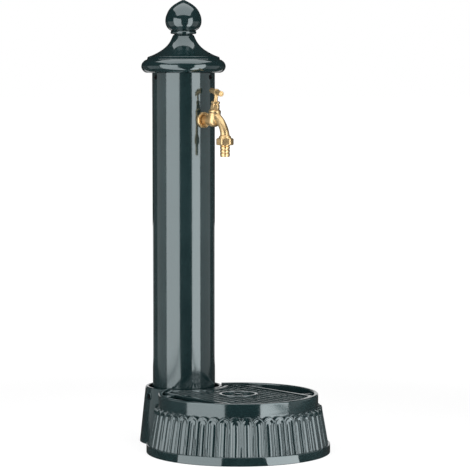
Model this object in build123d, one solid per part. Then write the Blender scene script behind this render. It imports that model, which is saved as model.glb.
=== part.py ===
from build123d import *
import math
import os

# Garden standpipe: a round column on a cast foot, with a fluted basin in front, a bell cap with an
# onion finial on top, and a brass tap with a hose union.
# Frame: the column's axis is Z, the ground is Z = 0, and the basin and the tap look towards -Y.

os.makedirs("parts", exist_ok=True)

# Overruns and clearances
overrun = 1.0                 # how far a cutter runs past a face
slip_gap = 0.4                # radial gap between castings and the tube they hold
thread_gap = 0.05             # radial gap between two threads, drawn as plain cylinders
turn_gap = 0.05               # radial gap of a shaft that turns
bolt_gap = 0.5                # radial gap round a screw in its through hole
lift_gap = 2.0                # gap round the loose grate
saddle_gap = 0.3              # gap between a seat cut round and the tube's wall

# Column tube
column_radius = 62.5
column_wall = 3.0
foot_plate = 10.0             # the tube stands on the foot's floor plate

# Foot casting
foot_height = 112.0
foot_top_radius = 77.0
foot_base_radius = 89.0
foot_wall = 6.0
foot_lip_round = 2.0
spigot_height = 60.0
spigot_wall = 6.0
supply_hole_radius = 15.0
anchor_count = 4
anchor_circle_radius = 36.0
anchor_hole_radius = 5.5
anchor_start_angle = 45.0

# Screws that hold the tube, at the same three angles at the top and at the bottom
screw_count = 3
screw_start_angle = 50.0
foot_screw_height = 94.0
foot_screw_radius = 4.0
foot_screw_tip_radius = 3.0
foot_screw_head_radius = 5.5
foot_screw_head = 3.0
foot_screw_sink = 1.0         # of the head under the boss's face
foot_boss_radius = 9.0
foot_boss_stand = 1.0
cap_screw_drop = 9.0          # below the tube's top edge
cap_screw_radius = 3.0
cap_screw_head_radius = 4.6
cap_screw_stand = 1.0
cap_screw_shank = 8.0
key_depth = 2.0               # depth of a hexagon socket
key_share = 0.5               # of the screw head's width

# Basin casting
basin_lap = 7.5               # the basin's axis is this much nearer the column than the plinth is wide
basin_height = 115.0
plinth_radius = 179.5
plinth_height = 17.0
plinth_step = 5.0             # from the plinth in to the flutes
flute_lean = 13.0             # from the flutes' foot in to their top
flute_top = 91.0
rim_step = 5.5                # from the flutes' top in to the plain rim
rim_width = 8.0
rim_round = 2.0
basin_wall = 7.0
basin_floor = 26.0            # underside of the floor
basin_floor_thick = 6.0
flute_count = 48
flute_width_share = 0.62      # of the spacing of the flutes
flute_depth = 2.4
collar_wall = 6.0
collar_bottom = 4.0
collar_top = 44.0
basin_screw_angles = (215.0, 325.0)
basin_screw_height = 15.0
basin_screw_radius = 4.0
basin_screw_head = 5.3
basin_screw_flats = 13.0
basin_screw_boss = 8.0        # depth of metal behind the foot's wall
basin_screw_boss_radius = 8.0
basin_screw_pad = 1.2         # a flat seat on the collar's round wall
pad_share = 0.7               # of the hexagon's size across flats
ledge_width = 16.0
ledge_depth = 10.0

# Grate
crescent_width = 46.0         # open on either side of the grate, between its lugs
grate_thick = 7.0
grate_sink = 3.0              # its top lies this far under the basin's rim
grate_border = 9.0
grate_bars = 11
grate_bar = 5.0
grate_cross_bar = 5.0
cross_place_share = 0.62      # of the grate's half width, either side of the basin's axis
medallion_radius = 38.0
medallion_ring = 6.0
rosette_count = 8
rosette_hole_radius = 6.0
rosette_circle_radius = 20.5
rosette_hub_radius = 8.0
rosette_hub_stand = 1.5
lug_place_share = 0.77        # of the grate's half width, either side of the basin's axis
lug_width = 12.0

# Waste fitting in the basin's floor
waste_flange_radius = 26.0
waste_flange = 2.5
waste_radius = 16.6
waste_end_radius = 16.0         # plain, for a waste pipe's socket
waste_wall = 3.0
waste_bottom = 3.0
waste_washer_thick = 2.5
waste_nut_flats = 46.0
waste_nut_height = 7.0
waste_thread_spare = 1.0
waste_hole_radius = 3.0
waste_hole_circle = 8.5
waste_hole_count = 6

# Cap and finial
cap_ring_radius = 84.2
cap_ring_height = 25.0        # over the tube's top
cap_ring_edge_radius = 80.0
skirt_radius = 71.5
skirt_height = 7.0
neck_radius = 18.3
cap_height = 77.0             # over the tube's top
neck_groove = 3.0             # height of the narrow neck under the finial
bell_top_radius = 22.0
bell_mid_radius_share = 0.29  # of the fall from the skirt to the bell's top, at its middle point
bell_mid_height_share = 0.45
cap_spigot_wall = 5.0
cap_spigot_depth = 25.0
cap_hollow_drop = 2.0         # of the wide hollow's top under the ring's top
stud_radius = 5.0
stud_length = 54.0
stud_engagement = 20.0        # in the finial
nut_flats = 17.0
nut_height = 8.0
nut_pocket_radius = 13.0
nut_pocket_base_radius = 27.0
cap_web = 10.0                # metal over the nut
finial_collar_radius = 26.0
finial_collar_thick = 6.5
onion_base_radius = 25.0
onion_under_radius = 32.6
onion_under_share = 0.194     # of the finial's height, like the next two
onion_radius = 36.2
onion_widest_share = 0.365
onion_shoulder_radius = 29.4
onion_shoulder_share = 0.686
finial_tip_radius = 5.0
finial_tip = 2.5              # height of the small point on top
finial_height = 68.5

# Tap: places along its inlet and along its leaning valve axis
tap_height = 645.5
tap_drop = 93.5               # of the inlet's axis under the tube's top
tap_lean = 8.0                # degrees that the valve axis leans outwards
valve_reach = 97.0            # from the column's axis, along the inlet
tail_radius = 10.45
tail_start = 45.0
inlet_bore_radius = 6.0
inlet_bore_end = 85.0
inlet_radius = 11.5
port_radius = 4.5
port_drop = 1.0               # of the port under the inlet's axis
flange_radius = 16.2
flange_front_radius = 12.5
flange_front = 71.0
flange_rim = 3.5
bulb_radius = 13.2
body_top = 15.0
chamber_radius = 9.5
lower_chamber_radius = 5.0
lower_chamber_shift = 1.5
lower_chamber_depth = 7.0
seat_bottom = 3.0
seat_top = 6.5
seat_radius = 5.0
seat_lip_radius = 6.8
seat_lip = 1.0
spout_radius = 8.5
spout_bore_radius = 4.0
spout_start_reach = 8.5       # from the valve's place, outwards
spout_start_rise = 7.0
spout_bend = 16.0
spout_end_rise = 8.0          # the bend's corner, above the outlet's collar
spout_reach = 131.0           # the outlet's axis, from the column's axis
outlet_collar_top = 31.0      # drops below the inlet's axis
outlet_collar = 3.0
outlet_collar_radius = 12.0
outlet_bore_radius = 7.0
outlet_thread_radius = 13.2

# Hose union
union_top = 34.8
union_height = 13.6
union_flats = 31.0
union_lip = 2.4
union_washer_thick = 2.2
union_washer_bore = 8.0
tail_flange_radius = 12.4
tail_flange = 2.2
hose_radius = 8.6
hose_barb_radius = 9.9
hose_bore_radius = 6.5
hose_end = 71.5
hose_neck = 1.0               # thick neck under the union's nut
barb_count = 3
barb_pitch = 6.5
barb_length = 5.5

# Valve headwork, in heights above the inlet's axis along the valve axis
bonnet_washer_thick = 1.0
bonnet_washer_radius = 12.2
bonnet_thread = 5.0
bonnet_shoulder_radius = 12.3
bonnet_shoulder_top_radius = 9.5
bonnet_shoulder = 4.0
bonnet_flats = 17.6
bonnet_hex_top = 31.0
gland_thread_radius = 7.0
bonnet_top = 35.0
packing_depth = 3.4
packing_stand = 1.0           # above the bonnet's top, inside the nut
packing_radius = 6.0
gland_flats = 16.0
gland_nut_bottom = 32.5
gland_nut_top = 37.5
spindle_radius = 4.0
spindle_thread_radius = 6.5
spindle_thread_length = 12.0
spindle_thread_spare = 1.0    # of thread in the bonnet above the raised spindle's
spindle_end = 60.5
spindle_end_radius = 3.0
jumper_radius = 7.5
jumper_disc = 2.0
jumper_washer_thick = 3.0
jumper_stem_radius = 3.0
jumper_stem = 12.0
jumper_stub_radius = 2.0
jumper_stub_stand = 1.0       # under the nut
jumper_nut_thick = 2.0
jumper_nut_flats = 6.5
valve_gap = 0.2
valve_lift = 5.0

# T-handle
handle_height = 55.3
handle_length = 53.0
handle_turn = 16.5            # degrees from the inlet's direction when the tap is shut
handle_radius = 4.9
handle_end_radius = 5.3
handle_end_round = 2.6
handle_hub_radius = 7.0
handle_hub_bottom = 49.5
handle_hub_top = 59.5
handle_screw_radius = 4.2
handle_screw_thick = 2.5

# Water line inside the column
pipe_radius = 7.5
pipe_wall = 1.0
pipe_gap = 0.1
elbow_radius = 13.0
elbow_reach = 27.0
elbow_bore_radius = 6.0
elbow_socket = 14.0           # how far a pipe or a thread enters the elbow
extension_flats = 27.0
extension_hex = 6.0
extension_radius = 13.0
extension_end = 55.0
saddle_radius = 17.0
fitting_flange_radius = 24.0
fitting_flange = 4.0
fitting_radius = 13.5
fitting_bottom = 2.0
fitting_barrel_radius = 12.0
fitting_top = 36.0
fitting_socket = 12.0
supply_thread_radius = 9.3
supply_thread_depth = 12.0
fitting_screw_circle = 19.0
fitting_screw_radius = 2.5
fitting_screw_head_radius = 4.5
fitting_screw_head = 3.0
riser_nut_flats = 24.0
riser_nut_height = 12.0

# Worked out from the sizes above
column_top = tap_height + tap_drop
column_bore = column_radius - column_wall
foot_spigot_radius = column_bore - slip_gap
cap_spigot_radius = column_bore - slip_gap
cap_ring_top = column_top + cap_ring_height
cap_top = column_top + cap_height
cap_hollow_top = cap_ring_top - cap_hollow_drop
finial_top = cap_top + finial_height
onion_under = cap_top + finial_height * onion_under_share
onion_widest = cap_top + finial_height * onion_widest_share
onion_shoulder = cap_top + finial_height * onion_shoulder_share
basin_reach = plinth_radius - basin_lap
flute_base_radius = plinth_radius - plinth_step
flute_top_radius = flute_base_radius - flute_lean
rim_radius = flute_top_radius - rim_step
basin_floor_top = basin_floor + basin_floor_thick
grate_top = basin_height - grate_sink
grate_bottom = grate_top - grate_thick
grate_rim_radius = rim_radius - rim_width - lift_gap
rim_inner_radius = rim_radius - rim_width
grate_half_width = grate_rim_radius - crescent_width
grate_cross_place = grate_half_width * cross_place_share
lug_place = grate_half_width * lug_place_share
tap_place = Location((0, -valve_reach, tap_height), (tap_lean, 0, 0))
outlet_place = Location((0, -spout_reach, tap_height))
basin_place = Location((0, -basin_reach, 0))
waste_nut_top = basin_floor - waste_washer_thick
riser_bottom = fitting_top - fitting_socket
riser_top = tap_height - elbow_reach + elbow_socket
union_bottom = union_top + union_height
tail_flange_bottom = union_bottom - union_lip
tail_flange_top = tail_flange_bottom - tail_flange
outlet_thread_end = tail_flange_top - union_washer_thick
jumper_top = seat_top + jumper_washer_thick + jumper_disc
spindle_bottom = jumper_top + valve_gap
bonnet_seat = body_top + bonnet_washer_thick

standing = (Align.CENTER, Align.CENTER, Align.MIN)
hanging = (Align.CENTER, Align.CENTER, Align.MAX)


def disc(radius, bottom, top, x=0, y=0):
    """An upright cylinder between two heights."""
    return Pos(x, y, bottom) * Cylinder(radius, top - bottom, align=standing)


def ring(outer, inner, bottom, top, x=0, y=0):
    """An upright tube between two heights."""
    return disc(outer, bottom, top, x, y) - disc(inner, bottom - overrun, top + overrun, x, y)


def cone(bottom_radius, top_radius, bottom, top):
    """An upright cone's stump between two heights."""
    stump = Cone(bottom_radius, top_radius, top - bottom, align=standing)
    return Pos(0, 0, bottom) * stump


def hexagon(flats, bottom, top, x=0, y=0):
    """An upright hexagonal prism, given by its size across flats."""
    outline = RegularPolygon(flats / 2, 6, major_radius=False)
    return Pos(x, y, bottom) * extrude(outline, top - bottom)


def rod(radius, start, end, height):
    """A round bar that lies along -Y between two distances from the column's axis."""
    bar = Cylinder(radius, end - start, align=standing)
    return Location((0, -start, height), (90, 0, 0)) * bar


def turned(outline):
    """A solid turned about Z from a closed outline in the XZ plane."""
    return revolve(outline, Axis.Z, 360)


def around(angle, height):
    """A place on the column's axis whose Z points outwards at an angle."""
    return Location((0, 0, height)) * Location((0, 0, 0), (0, 0, angle)) * Location((0, 0, 0), (0, 90, 0))


def screw_angles():
    """The angles of the screws that hold the tube."""
    return [screw_start_angle + step * 360 / screw_count for step in range(screw_count)]


def one_solid(shape):
    """The single solid of a cut or fused shape."""
    return shape.solid() if len(shape.solids()) == 1 else shape


def save(name, shape):
    """Writes one sub-part under its node's name."""
    shape.label = name
    export_step(shape, "parts/" + name + ".step")


def foot_radius_at(height):
    """The foot's outer radius at a height."""
    return foot_base_radius + (foot_top_radius - foot_base_radius) * height / foot_height


def foot_boss_face():
    """How far from the column's axis the bosses of the foot's screws reach."""
    return foot_radius_at(foot_screw_height) + foot_boss_stand


def make_column_tube():
    """The round tube, with its tap hole and its screw holes."""
    tube = ring(column_radius, column_bore, foot_plate, column_top)
    tube -= rod(tail_radius + bolt_gap, column_bore - overrun, column_radius + overrun, tap_height)
    for angle in screw_angles():
        tip_hole = disc(foot_screw_tip_radius + thread_gap, 0, column_radius + overrun)
        head_hole = disc(cap_screw_head_radius + bolt_gap, 0, column_radius + overrun)
        tube -= around(angle, foot_screw_height) * tip_hole
        tube -= around(angle, column_top - cap_screw_drop) * head_hole
    return one_solid(tube)


def make_column_foot():
    """The tapered casting that carries the tube on an inner spigot."""
    outside = cone(foot_base_radius, foot_top_radius, 0, foot_height)
    lip = outside.edges().filter_by(GeomType.CIRCLE).group_by(Axis.Z)[-1]
    outside = fillet(lip, foot_lip_round)
    floor_radius = foot_radius_at(foot_plate) - foot_wall
    inside = cone(floor_radius, foot_top_radius - foot_wall, foot_plate, foot_height)
    inside += disc(foot_top_radius - foot_wall, foot_height, foot_height + overrun)
    foot = outside - inside
    foot += ring(foot_spigot_radius, foot_spigot_radius - spigot_wall, foot_plate - overrun, spigot_height)
    sink = foot_screw_head + foot_screw_sink
    depth = foot_wall + foot_boss_stand
    for angle in screw_angles():
        place = around(angle, foot_screw_height) * Location((0, 0, foot_boss_face()))
        foot += place * disc(foot_boss_radius, -depth, 0)
        foot -= place * disc(foot_screw_radius + thread_gap, -depth * 2, 0)
        foot -= place * disc(foot_screw_head_radius + bolt_gap, -sink, overrun)
    for angle in basin_screw_angles:
        surface = foot_radius_at(basin_screw_height)
        reach = foot_wall + basin_screw_boss
        place = around(angle, basin_screw_height) * Location((0, 0, surface))
        foot += place * disc(basin_screw_boss_radius, -reach, -overrun)
        foot -= place * disc(basin_screw_radius + thread_gap, -reach - overrun, overrun)
    foot -= disc(supply_hole_radius, -overrun, foot_plate + overrun)
    for step in range(anchor_count):
        angle = math.radians(anchor_start_angle + step * 360 / anchor_count)
        x = anchor_circle_radius * math.cos(angle)
        y = anchor_circle_radius * math.sin(angle)
        foot -= disc(anchor_hole_radius, -overrun, foot_plate + overrun, x, y)
    for step in range(2):
        y = fitting_screw_circle * (1 - 2 * step)
        foot -= disc(fitting_screw_radius + thread_gap, -overrun, foot_plate + overrun, 0, y)
    return one_solid(foot)


def make_foot_screws():
    """Three screws from the foot's bosses to the tube."""
    screws = []
    face = foot_boss_face() - foot_screw_head - foot_screw_sink
    for angle in screw_angles():
        head = disc(foot_screw_head_radius, 0, foot_screw_head)
        flats = foot_screw_head_radius * 2 * key_share
        head -= hexagon(flats, foot_screw_head - key_depth, foot_screw_head + overrun)
        shank = disc(foot_screw_radius, column_radius + slip_gap - face, 0)
        tip = disc(foot_screw_tip_radius, column_bore - face, column_radius + slip_gap - face)
        screw = head + shank + tip
        screws.append(around(angle, foot_screw_height) * Location((0, 0, face)) * screw)
    return Compound(children=[one_solid(screw) for screw in screws])


def make_cap_screws():
    """Three screws through the tube's top into the cap's spigot."""
    screws = []
    for angle in screw_angles():
        top = column_radius + cap_screw_stand - cap_spigot_radius
        head = disc(cap_screw_head_radius, 0, top)
        head -= hexagon(cap_screw_head_radius * 2 * key_share, top - key_depth, top + overrun)
        screw = head + disc(cap_screw_radius, -cap_screw_shank, 0)
        place = around(angle, column_top - cap_screw_drop) * Location((0, 0, cap_spigot_radius))
        screws.append(place * screw)
    return Compound(children=[one_solid(screw) for screw in screws])


def flute_radius_at(height):
    """The fluted band's outer radius at a height."""
    share = (height - plinth_height) / (flute_top - plinth_height)
    return flute_base_radius + (flute_top_radius - flute_base_radius) * share


def basin_outline():
    """Half of the basin's section, with the plinth, the fluted band, the plain band and the rim."""
    under_radius = flute_radius_at(basin_floor) - basin_wall
    floor_radius = flute_radius_at(basin_floor_top) - basin_wall
    points = [
        (0, basin_floor),
        (under_radius, basin_floor),
        (flute_base_radius - basin_wall, plinth_height),
        (plinth_radius - basin_wall, 0),
        (plinth_radius, 0),
        (plinth_radius, plinth_height),
        (flute_base_radius, plinth_height),
        (flute_top_radius, flute_top),
        (rim_radius, flute_top),
        (rim_radius, basin_height),
        (rim_inner_radius, basin_height),
        (rim_inner_radius, flute_top - basin_wall),
        (floor_radius, basin_floor_top),
        (0, basin_floor_top),
    ]
    return Plane.XZ * make_face(Polyline(*points, close=True))


def make_flute():
    """One round-topped flute cutter that leans with the basin's wall."""
    spacing = 2 * math.pi * flute_top_radius / flute_count
    half_width = spacing * flute_width_share / 2
    rise = flute_top - plinth_height
    lean = math.degrees(math.atan((flute_base_radius - flute_top_radius) / rise))
    slope = math.hypot(rise, flute_base_radius - flute_top_radius)
    length = slope - half_width * 2
    cutter_radius = (half_width ** 2 + flute_depth ** 2) / (2 * flute_depth)
    trough = Cylinder(cutter_radius, length, align=standing)
    trough += Pos(0, 0, length) * Sphere(cutter_radius)
    place = Location((flute_base_radius, 0, plinth_height)) * Location((0, 0, 0), (0, -lean, 0))
    return place * Location((cutter_radius - flute_depth, 0, 0)) * trough


def make_basin():
    """The fluted basin, cut to stand against the foot, with a collar that joins it there."""
    basin = turned(basin_outline())
    rim_edges = basin.edges().filter_by(GeomType.CIRCLE).group_by(Axis.Z)[-1]
    basin = fillet(rim_edges, rim_round)
    flute = make_flute()
    places = PolarLocations(0, flute_count, start_angle=180 / flute_count)
    basin -= [place * flute for place in places]
    for across, along in ledge_places():
        basin += ledge(across, along)
    basin = basin_place * basin
    foot_space = cone(
        foot_radius_at(-overrun) + slip_gap,
        foot_radius_at(basin_height + overrun) + slip_gap,
        -overrun,
        basin_height + overrun,
    )
    collar = cone(
        foot_radius_at(collar_bottom) + slip_gap + collar_wall,
        foot_radius_at(collar_top) + slip_gap + collar_wall,
        collar_bottom,
        collar_top,
    )
    basin += collar & (basin_place * disc(flute_top_radius, 0, collar_top))
    basin -= foot_space
    for angle in basin_screw_angles:
        place = around(angle, basin_screw_height) * Location((0, 0, basin_screw_face()))
        basin += place * disc(basin_screw_flats * pad_share, -basin_screw_pad * 2, 0)
        basin -= place * disc(basin_screw_radius + bolt_gap, -collar_wall * 2, overrun)
    recess = basin_floor_top - waste_flange
    basin -= basin_place * disc(waste_radius + bolt_gap, 0, basin_height)
    basin -= basin_place * disc(waste_flange_radius + bolt_gap, recess, basin_height)
    return one_solid(basin)


def basin_screw_face():
    """How far from the column's axis the flat seats of the basin's screws lie."""
    return foot_radius_at(basin_screw_height) + slip_gap + collar_wall + basin_screw_pad


def ledge_places():
    """Where the grate's four lugs rest, from the basin's axis."""
    return [(side, along) for side in (-1, 1) for along in (-lug_place, lug_place)]


def ledge(side, along):
    """A block on the inside of the basin's wall, under one lug."""
    outer = math.sqrt(rim_inner_radius ** 2 - along ** 2) + basin_wall / 2
    inner = math.sqrt(rim_inner_radius ** 2 - along ** 2) - ledge_width
    block = Box(outer - inner, lug_width, ledge_depth, align=(Align.MIN, Align.CENTER, Align.MAX))
    block = Pos(inner, along, grate_bottom) * block
    return block if side > 0 else mirror(block, Plane.YZ)


def make_basin_screws():
    """Hexagon screws under the basin's floor that pull the basin to the foot."""
    screws = []
    for angle in basin_screw_angles:
        head = hexagon(basin_screw_flats, 0, basin_screw_head)
        shank = disc(basin_screw_radius, -basin_screw_pad - collar_wall - foot_wall - basin_screw_boss, 0)
        place = around(angle, basin_screw_height) * Location((0, 0, basin_screw_face()))
        screws.append(place * (head + shank))
    return Compound(children=[one_solid(screw) for screw in screws])


def grate_outline(inset):
    """The grate's outline, drawn in by an inset: straight sides, round ends, hollow at the foot."""
    face = Circle(grate_rim_radius - inset)
    face &= Rectangle(2 * (grate_half_width - inset), 4 * grate_rim_radius)
    foot_circle = Pos(0, basin_reach) * Circle(foot_radius_at(grate_bottom) + lift_gap + inset)
    return face - foot_circle


def grate_slots():
    """The open slots between the bars, clear of the cross bars and of the medallion."""
    pitch = 2 * (grate_half_width - grate_border) / grate_bars
    slot = pitch - grate_bar
    stripes = Sketch()
    for step in range(grate_bars):
        x = (step - (grate_bars - 1) / 2) * pitch
        stripes += Pos(x, 0) * Rectangle(slot, 4 * grate_rim_radius)
    stripes &= grate_outline(grate_border)
    for side in (-1, 1):
        stripes -= Pos(0, side * grate_cross_place) * Rectangle(4 * grate_half_width, grate_cross_bar)
    return stripes - Circle(medallion_radius)


def make_grate():
    """The cast plate with bars, four lugs and a plain rosette."""
    plate = grate_outline(0)
    for side, along in ledge_places():
        outer = math.sqrt(grate_rim_radius ** 2 - along ** 2) - lift_gap
        inner = grate_half_width - grate_border
        plate += Pos(side * (outer + inner) / 2, along) * Rectangle(outer - inner, lug_width)
    plate -= grate_slots()
    grate = extrude(plate, grate_thick)
    grate += disc(rosette_hub_radius, 0, grate_thick + rosette_hub_stand)
    rim_top = grate_thick + rosette_hub_stand
    grate += ring(medallion_radius, medallion_radius - medallion_ring, grate_thick - overrun, rim_top)
    hole = disc(rosette_hole_radius, -overrun, rim_top)
    grate -= PolarLocations(rosette_circle_radius, rosette_count) * hole
    return one_solid(basin_place * Pos(0, 0, grate_bottom) * grate)


def make_waste_body():
    """The strainer flange and its threaded tail."""
    top = basin_floor_top
    body = disc(waste_flange_radius, top - waste_flange, top)
    thread_bottom = waste_nut_top - waste_nut_height - waste_thread_spare
    body += disc(waste_radius, thread_bottom, top - waste_flange)
    body += disc(waste_end_radius, waste_bottom, thread_bottom)
    body -= disc(waste_radius - waste_wall, waste_bottom - overrun, top - waste_flange)
    for place in PolarLocations(waste_hole_circle, waste_hole_count):
        body -= place * disc(waste_hole_radius, top - waste_flange * 2, top + overrun)
    body -= disc(waste_hole_radius, top - waste_flange * 2, top + overrun)
    return one_solid(basin_place * body)


def make_waste_washer():
    """The rubber ring under the basin's floor."""
    return basin_place * ring(waste_flange_radius, waste_radius + thread_gap, waste_nut_top, basin_floor)


def make_waste_nut():
    """The nut that pulls the waste flange down."""
    nut = hexagon(waste_nut_flats, waste_nut_top - waste_nut_height, waste_nut_top)
    nut -= disc(waste_radius + thread_gap, 0, basin_floor)
    return one_solid(basin_place * nut)


def make_cap():
    """The bell cap with its rounded ring, hollow below, with a spigot for the tube."""
    bell_foot = cap_ring_top + skirt_height
    bell_top = cap_top - neck_groove
    fall = skirt_radius - bell_top_radius
    rise = bell_top - bell_foot
    bell_mid = (bell_top_radius + fall * bell_mid_radius_share, bell_foot + rise * bell_mid_height_share)
    ring_middle = (column_top + cap_ring_top) / 2
    line = [
        Line((0, column_top), (cap_ring_edge_radius, column_top)),
        ThreePointArc(
            (cap_ring_edge_radius, column_top),
            (cap_ring_radius, ring_middle),
            (cap_ring_edge_radius, cap_ring_top),
        ),
        Line((cap_ring_edge_radius, cap_ring_top), (skirt_radius, cap_ring_top)),
        Line((skirt_radius, cap_ring_top), (skirt_radius, bell_foot)),
        ThreePointArc((skirt_radius, bell_foot), bell_mid, (bell_top_radius, bell_top)),
        Line((bell_top_radius, bell_top), (neck_radius, cap_top)),
        Line((neck_radius, cap_top), (0, cap_top)),
        Line((0, cap_top), (0, column_top)),
    ]
    cap = turned(Plane.XZ * make_face(line))
    cap += disc(cap_spigot_radius, column_top - cap_spigot_depth, column_top + overrun)
    spigot_hollow = cap_spigot_radius - cap_spigot_wall
    pocket_top = cap_top - cap_web
    hollow = disc(spigot_hollow, column_top - cap_spigot_depth - overrun, cap_hollow_top)
    hollow += cone(nut_pocket_base_radius, nut_pocket_radius, cap_hollow_top, pocket_top)
    hollow += disc(stud_radius + bolt_gap, pocket_top - overrun, cap_top + overrun)
    cap -= hollow
    for angle in screw_angles():
        place = around(angle, column_top - cap_screw_drop) * Location((0, 0, cap_spigot_radius))
        cap -= place * disc(cap_screw_radius + thread_gap, -cap_spigot_wall * 2, overrun)
    return one_solid(cap)


def make_finial():
    """The onion knob on its thin collar."""
    onion_bottom = cap_top + finial_collar_thick
    line = [
        Line((0, cap_top), (finial_collar_radius, cap_top)),
        Line((finial_collar_radius, cap_top), (finial_collar_radius, onion_bottom)),
        Line((finial_collar_radius, onion_bottom), (onion_base_radius, onion_bottom)),
        ThreePointArc(
            (onion_base_radius, onion_bottom),
            (onion_under_radius, onion_under),
            (onion_radius, onion_widest),
        ),
        ThreePointArc(
            (onion_radius, onion_widest),
            (onion_shoulder_radius, onion_shoulder),
            (finial_tip_radius, finial_top - finial_tip),
        ),
        Line((finial_tip_radius, finial_top - finial_tip), (0, finial_top)),
        Line((0, finial_top), (0, cap_top)),
    ]
    knob = turned(Plane.XZ * make_face(line))
    hole = disc(stud_radius + thread_gap, cap_top - overrun, cap_top + stud_engagement + overrun)
    return one_solid(knob - hole)


def make_finial_stud():
    """The threaded stud that joins the finial to the cap."""
    top = cap_top + stud_engagement
    return disc(stud_radius, top - stud_length, top)


def make_finial_nut():
    """The nut under the cap's web."""
    top = cap_top - cap_web
    nut = hexagon(nut_flats, top - nut_height, top)
    return one_solid(nut - disc(stud_radius + thread_gap, top - nut_height - overrun, top + overrun))


def make_wall_flange():
    """The bevelled disc that covers the tap's hole, cut to sit on the round column."""
    start = column_radius - flange_rim
    rim_end = column_radius + flange_rim
    plate = rod(flange_radius, start, rim_end, tap_height)
    bevel = Cone(flange_radius, flange_front_radius, flange_front - rim_end, align=standing)
    plate += Location((0, -rim_end, tap_height), (90, 0, 0)) * bevel
    half = flange_radius + overrun
    plate -= disc(column_radius + saddle_gap, tap_height - half, tap_height + half)
    plate -= rod(tail_radius + thread_gap, start - overrun, flange_front + overrun, tap_height)
    return one_solid(plate)


def spout_wire():
    """The spout's centreline: down and outwards, then a bend to straight down."""
    start = (valve_reach + spout_start_reach, tap_height + spout_start_rise)
    end = (spout_reach, tap_height - outlet_collar_top)
    corner = (spout_reach, tap_height - outlet_collar_top + spout_end_rise)
    points = [(0, -reach, height) for reach, height in (start, corner, end)]
    return FilletPolyline(*points, radius=spout_bend)


def along_spout(radius):
    """A round bar that follows the spout's centreline."""
    path = spout_wire()
    section = Plane(origin=path @ 0, z_dir=path % 0) * Circle(radius)
    return sweep(section, path=path)


def make_tap_body():
    """The body casting: inlet tail, valve chamber with its seat, and the spout."""
    body = rod(tail_radius, tail_start, flange_front, tap_height)
    body += rod(inlet_radius, flange_front, valve_reach, tap_height)
    bulb = disc(bulb_radius, 0, body_top) + Sphere(bulb_radius)
    body += tap_place * bulb
    spout = along_spout(spout_radius)
    spout += Pos(0, -valve_reach - spout_start_reach, tap_height + spout_start_rise) * Sphere(spout_radius)
    body += spout
    body += outlet_place * disc(outlet_collar_radius, -outlet_collar_top - outlet_collar, -outlet_collar_top)
    body += outlet_place * disc(outlet_thread_radius, -outlet_thread_end, -outlet_collar_top - outlet_collar)
    body -= tap_place * disc(bulb_radius * 2, body_top, body_top + bulb_radius)
    body -= rod(inlet_bore_radius, tail_start - overrun, inlet_bore_end, tap_height)
    body -= rod(port_radius, inlet_bore_end - overrun, valve_reach, tap_height - port_drop)
    body -= tap_place * disc(chamber_radius, seat_top - seat_lip, body_top + overrun)
    body += tap_place * ring(seat_lip_radius, seat_radius, seat_top - seat_lip - overrun, seat_top)
    body -= tap_place * disc(seat_radius, seat_bottom - overrun, seat_top + overrun)
    body -= tap_place * disc(lower_chamber_radius, -lower_chamber_depth, seat_bottom, 0, lower_chamber_shift)
    body -= along_spout(spout_bore_radius)
    body -= outlet_place * disc(outlet_bore_radius, -outlet_thread_end - overrun, -outlet_collar_top)
    return one_solid(body)


def make_bonnet_washer():
    """The fibre ring between the bonnet and the body."""
    inner = chamber_radius + thread_gap
    return tap_place * ring(bonnet_washer_radius, inner, body_top, bonnet_seat)


def make_bonnet():
    """The headwork's body, with the spindle's thread inside."""
    bonnet = disc(chamber_radius - thread_gap, bonnet_seat - bonnet_thread, bonnet_seat)
    shoulder_top = bonnet_seat + bonnet_shoulder
    bonnet += cone(bonnet_shoulder_radius, bonnet_shoulder_top_radius, bonnet_seat, shoulder_top)
    bonnet += hexagon(bonnet_flats, bonnet_seat + overrun, bonnet_hex_top)
    bonnet += disc(gland_thread_radius, bonnet_hex_top, bonnet_top)
    thread_top = spindle_bottom + spindle_thread_length + valve_lift + spindle_thread_spare
    bonnet -= disc(jumper_radius + bolt_gap, 0, spindle_bottom + valve_lift)
    bonnet -= disc(spindle_thread_radius + turn_gap, 0, thread_top)
    bonnet -= disc(spindle_radius + turn_gap, 0, bonnet_top + overrun)
    bonnet -= disc(packing_radius, bonnet_top - packing_depth, bonnet_top + overrun)
    return one_solid(tap_place * bonnet)


def make_gland_packing():
    """The packing ring round the spindle."""
    top = bonnet_top + packing_stand
    bottom = bonnet_top - packing_depth
    return tap_place * ring(packing_radius - thread_gap, spindle_radius + turn_gap, bottom, top)


def make_gland_nut():
    """The nut that presses the packing."""
    nut = hexagon(gland_flats, gland_nut_bottom, gland_nut_top)
    nut -= disc(gland_thread_radius + thread_gap, gland_nut_bottom - overrun, bonnet_top + packing_stand)
    nut -= disc(spindle_radius + turn_gap, gland_nut_bottom, gland_nut_top + overrun)
    return one_solid(tap_place * nut)


def make_spindle():
    """The rising spindle, bored below for the jumper's stem."""
    spindle = disc(spindle_thread_radius, spindle_bottom, spindle_bottom + spindle_thread_length)
    spindle += disc(spindle_radius, spindle_bottom, handle_hub_bottom)
    spindle += disc(spindle_end_radius, handle_hub_bottom, spindle_end)
    spindle -= disc(jumper_stem_radius + turn_gap, 0, spindle_bottom + jumper_stem + valve_gap)
    return one_solid(tap_place * spindle)


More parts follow.
